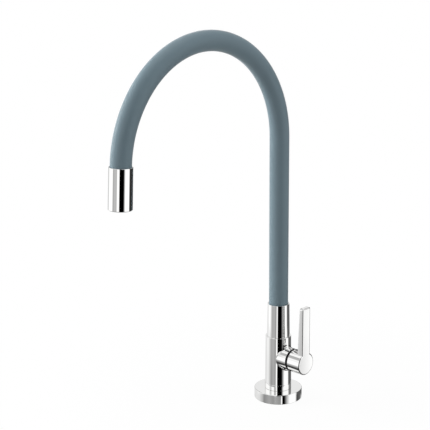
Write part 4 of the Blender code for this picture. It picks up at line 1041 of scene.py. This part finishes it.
def make_world():
    """White to the camera, the studio's bands to reflections, and even grey light to the rest."""
    world = bpy.data.worlds.new("studio")
    bpy.context.scene.world = world
    nodes = Nodes(world)
    direction = nodes.node("TexCoord", output="Generated")
    split = nodes.node("SeparateXYZ", {}, {0: direction}).socket.node
    x, y, z = (Value(nodes, split.outputs[i]) for i in range(3))
    azimuth = nodes.node("Math", {"operation": "ARCTAN2"}, {0: x, 1: -y}) / math.radians(360) + 0.5
    elevation = nodes.node("Math", {"operation": "ARCSINE"}, {0: z}) / math.radians(1)
    seen = None
    for start, blend, greys in STUDIO_BANDS:
        stops = [(angle / 360 + 0.5, grey(level) / PLATING_SHINE) for angle, level in greys]
        band = nodes.node("ValToRGB", {"stops": stops}, {0: azimuth})
        if seen is None:
            seen = band
        else:
            seen = nodes.mix(elevation.step(start - blend / 2, start + blend / 2), seen, band)
    paths = nodes.node("LightPath").socket.node
    camera_ray = Value(nodes, paths.outputs["Is Camera Ray"])
    glossy_ray = Value(nodes, paths.outputs["Is Glossy Ray"])
    shown = nodes.mix(glossy_ray, (AMBIENT, AMBIENT, AMBIENT), seen)
    shown = nodes.mix(camera_ray, shown, (1, 1, 1))
    light = nodes.node("Background", {}, {"Color": shown, "Strength": 1.0})
    nodes.node("OutputWorld", {}, {"Surface": light})


def make_floor():
    """The plain pale worktop. It stays out of reflections, where the studio's bands stand for it,
    and shows the tap's soft shadow on near-white."""
    mesh = bpy.data.meshes.new("floor")
    signs = ((-1, -1), (1, -1), (1, 1), (-1, 1))
    corners = [(side * FLOOR_REACH, other * FLOOR_REACH, -FIT) for side, other in signs]
    mesh.from_pydata(corners, [], [(0, 1, 2, 3)])
    floor = bpy.data.objects.new("floor", mesh)
    bpy.context.scene.collection.objects.link(floor)
    made = bpy.data.materials.new("worktop")
    nodes = Nodes(made)
    paths = nodes.node("LightPath").socket.node
    camera_ray = Value(nodes, paths.outputs["Is Camera Ray"])
    matt = nodes.node("BsdfDiffuse", {}, {"Color": (FLOOR_GREY, FLOOR_GREY, FLOOR_GREY, 1)})
    white = nodes.node("Emission", {}, {"Color": (1, 1, 1, 1), "Strength": 1.0})
    distance = nodes.node("VectorMath", {"operation": "LENGTH"}, {0: nodes.place()}, "Value")
    whiteness = 1 - FLOOR_SHADE * (1 - distance.step(*FLOOR_FADE))
    both = nodes.node("MixShader", {}, {0: camera_ray * whiteness, 1: matt, 2: white})
    nodes.node("OutputMaterial", {}, {"Surface": both})
    mesh.materials.append(made)
    floor.visible_glossy = False


def make_lamp(name, azimuth, elevation, distance, power):
    """A large soft lamp, aimed at the middle of the tap, that no reflection shows."""
    lamp = bpy.data.lights.new(name, "AREA")
    lamp.shape = "SQUARE"
    lamp.size = LAMP_SIZE
    lamp.energy = power
    obj = bpy.data.objects.new(name, lamp)
    bpy.context.scene.collection.objects.link(obj)
    side = math.radians(azimuth)
    lift = math.radians(elevation)
    level = math.cos(lift)
    away = Vector((math.sin(side) * level, -math.cos(side) * level, math.sin(lift)))
    obj.location = LAMP_AIM + away * distance
    obj.rotation_euler = away.to_track_quat("Z", "Y").to_euler()
    obj.visible_glossy = False


dress_nodes()
make_deck()
make_body()
make_shank()
make_lever()
make_collar()
make_spout()
make_head()
make_camera()
make_world()
make_floor()
for lamp in LAMPS:
    make_lamp(*lamp)
bpy.context.scene.view_settings.view_transform = "Standard"
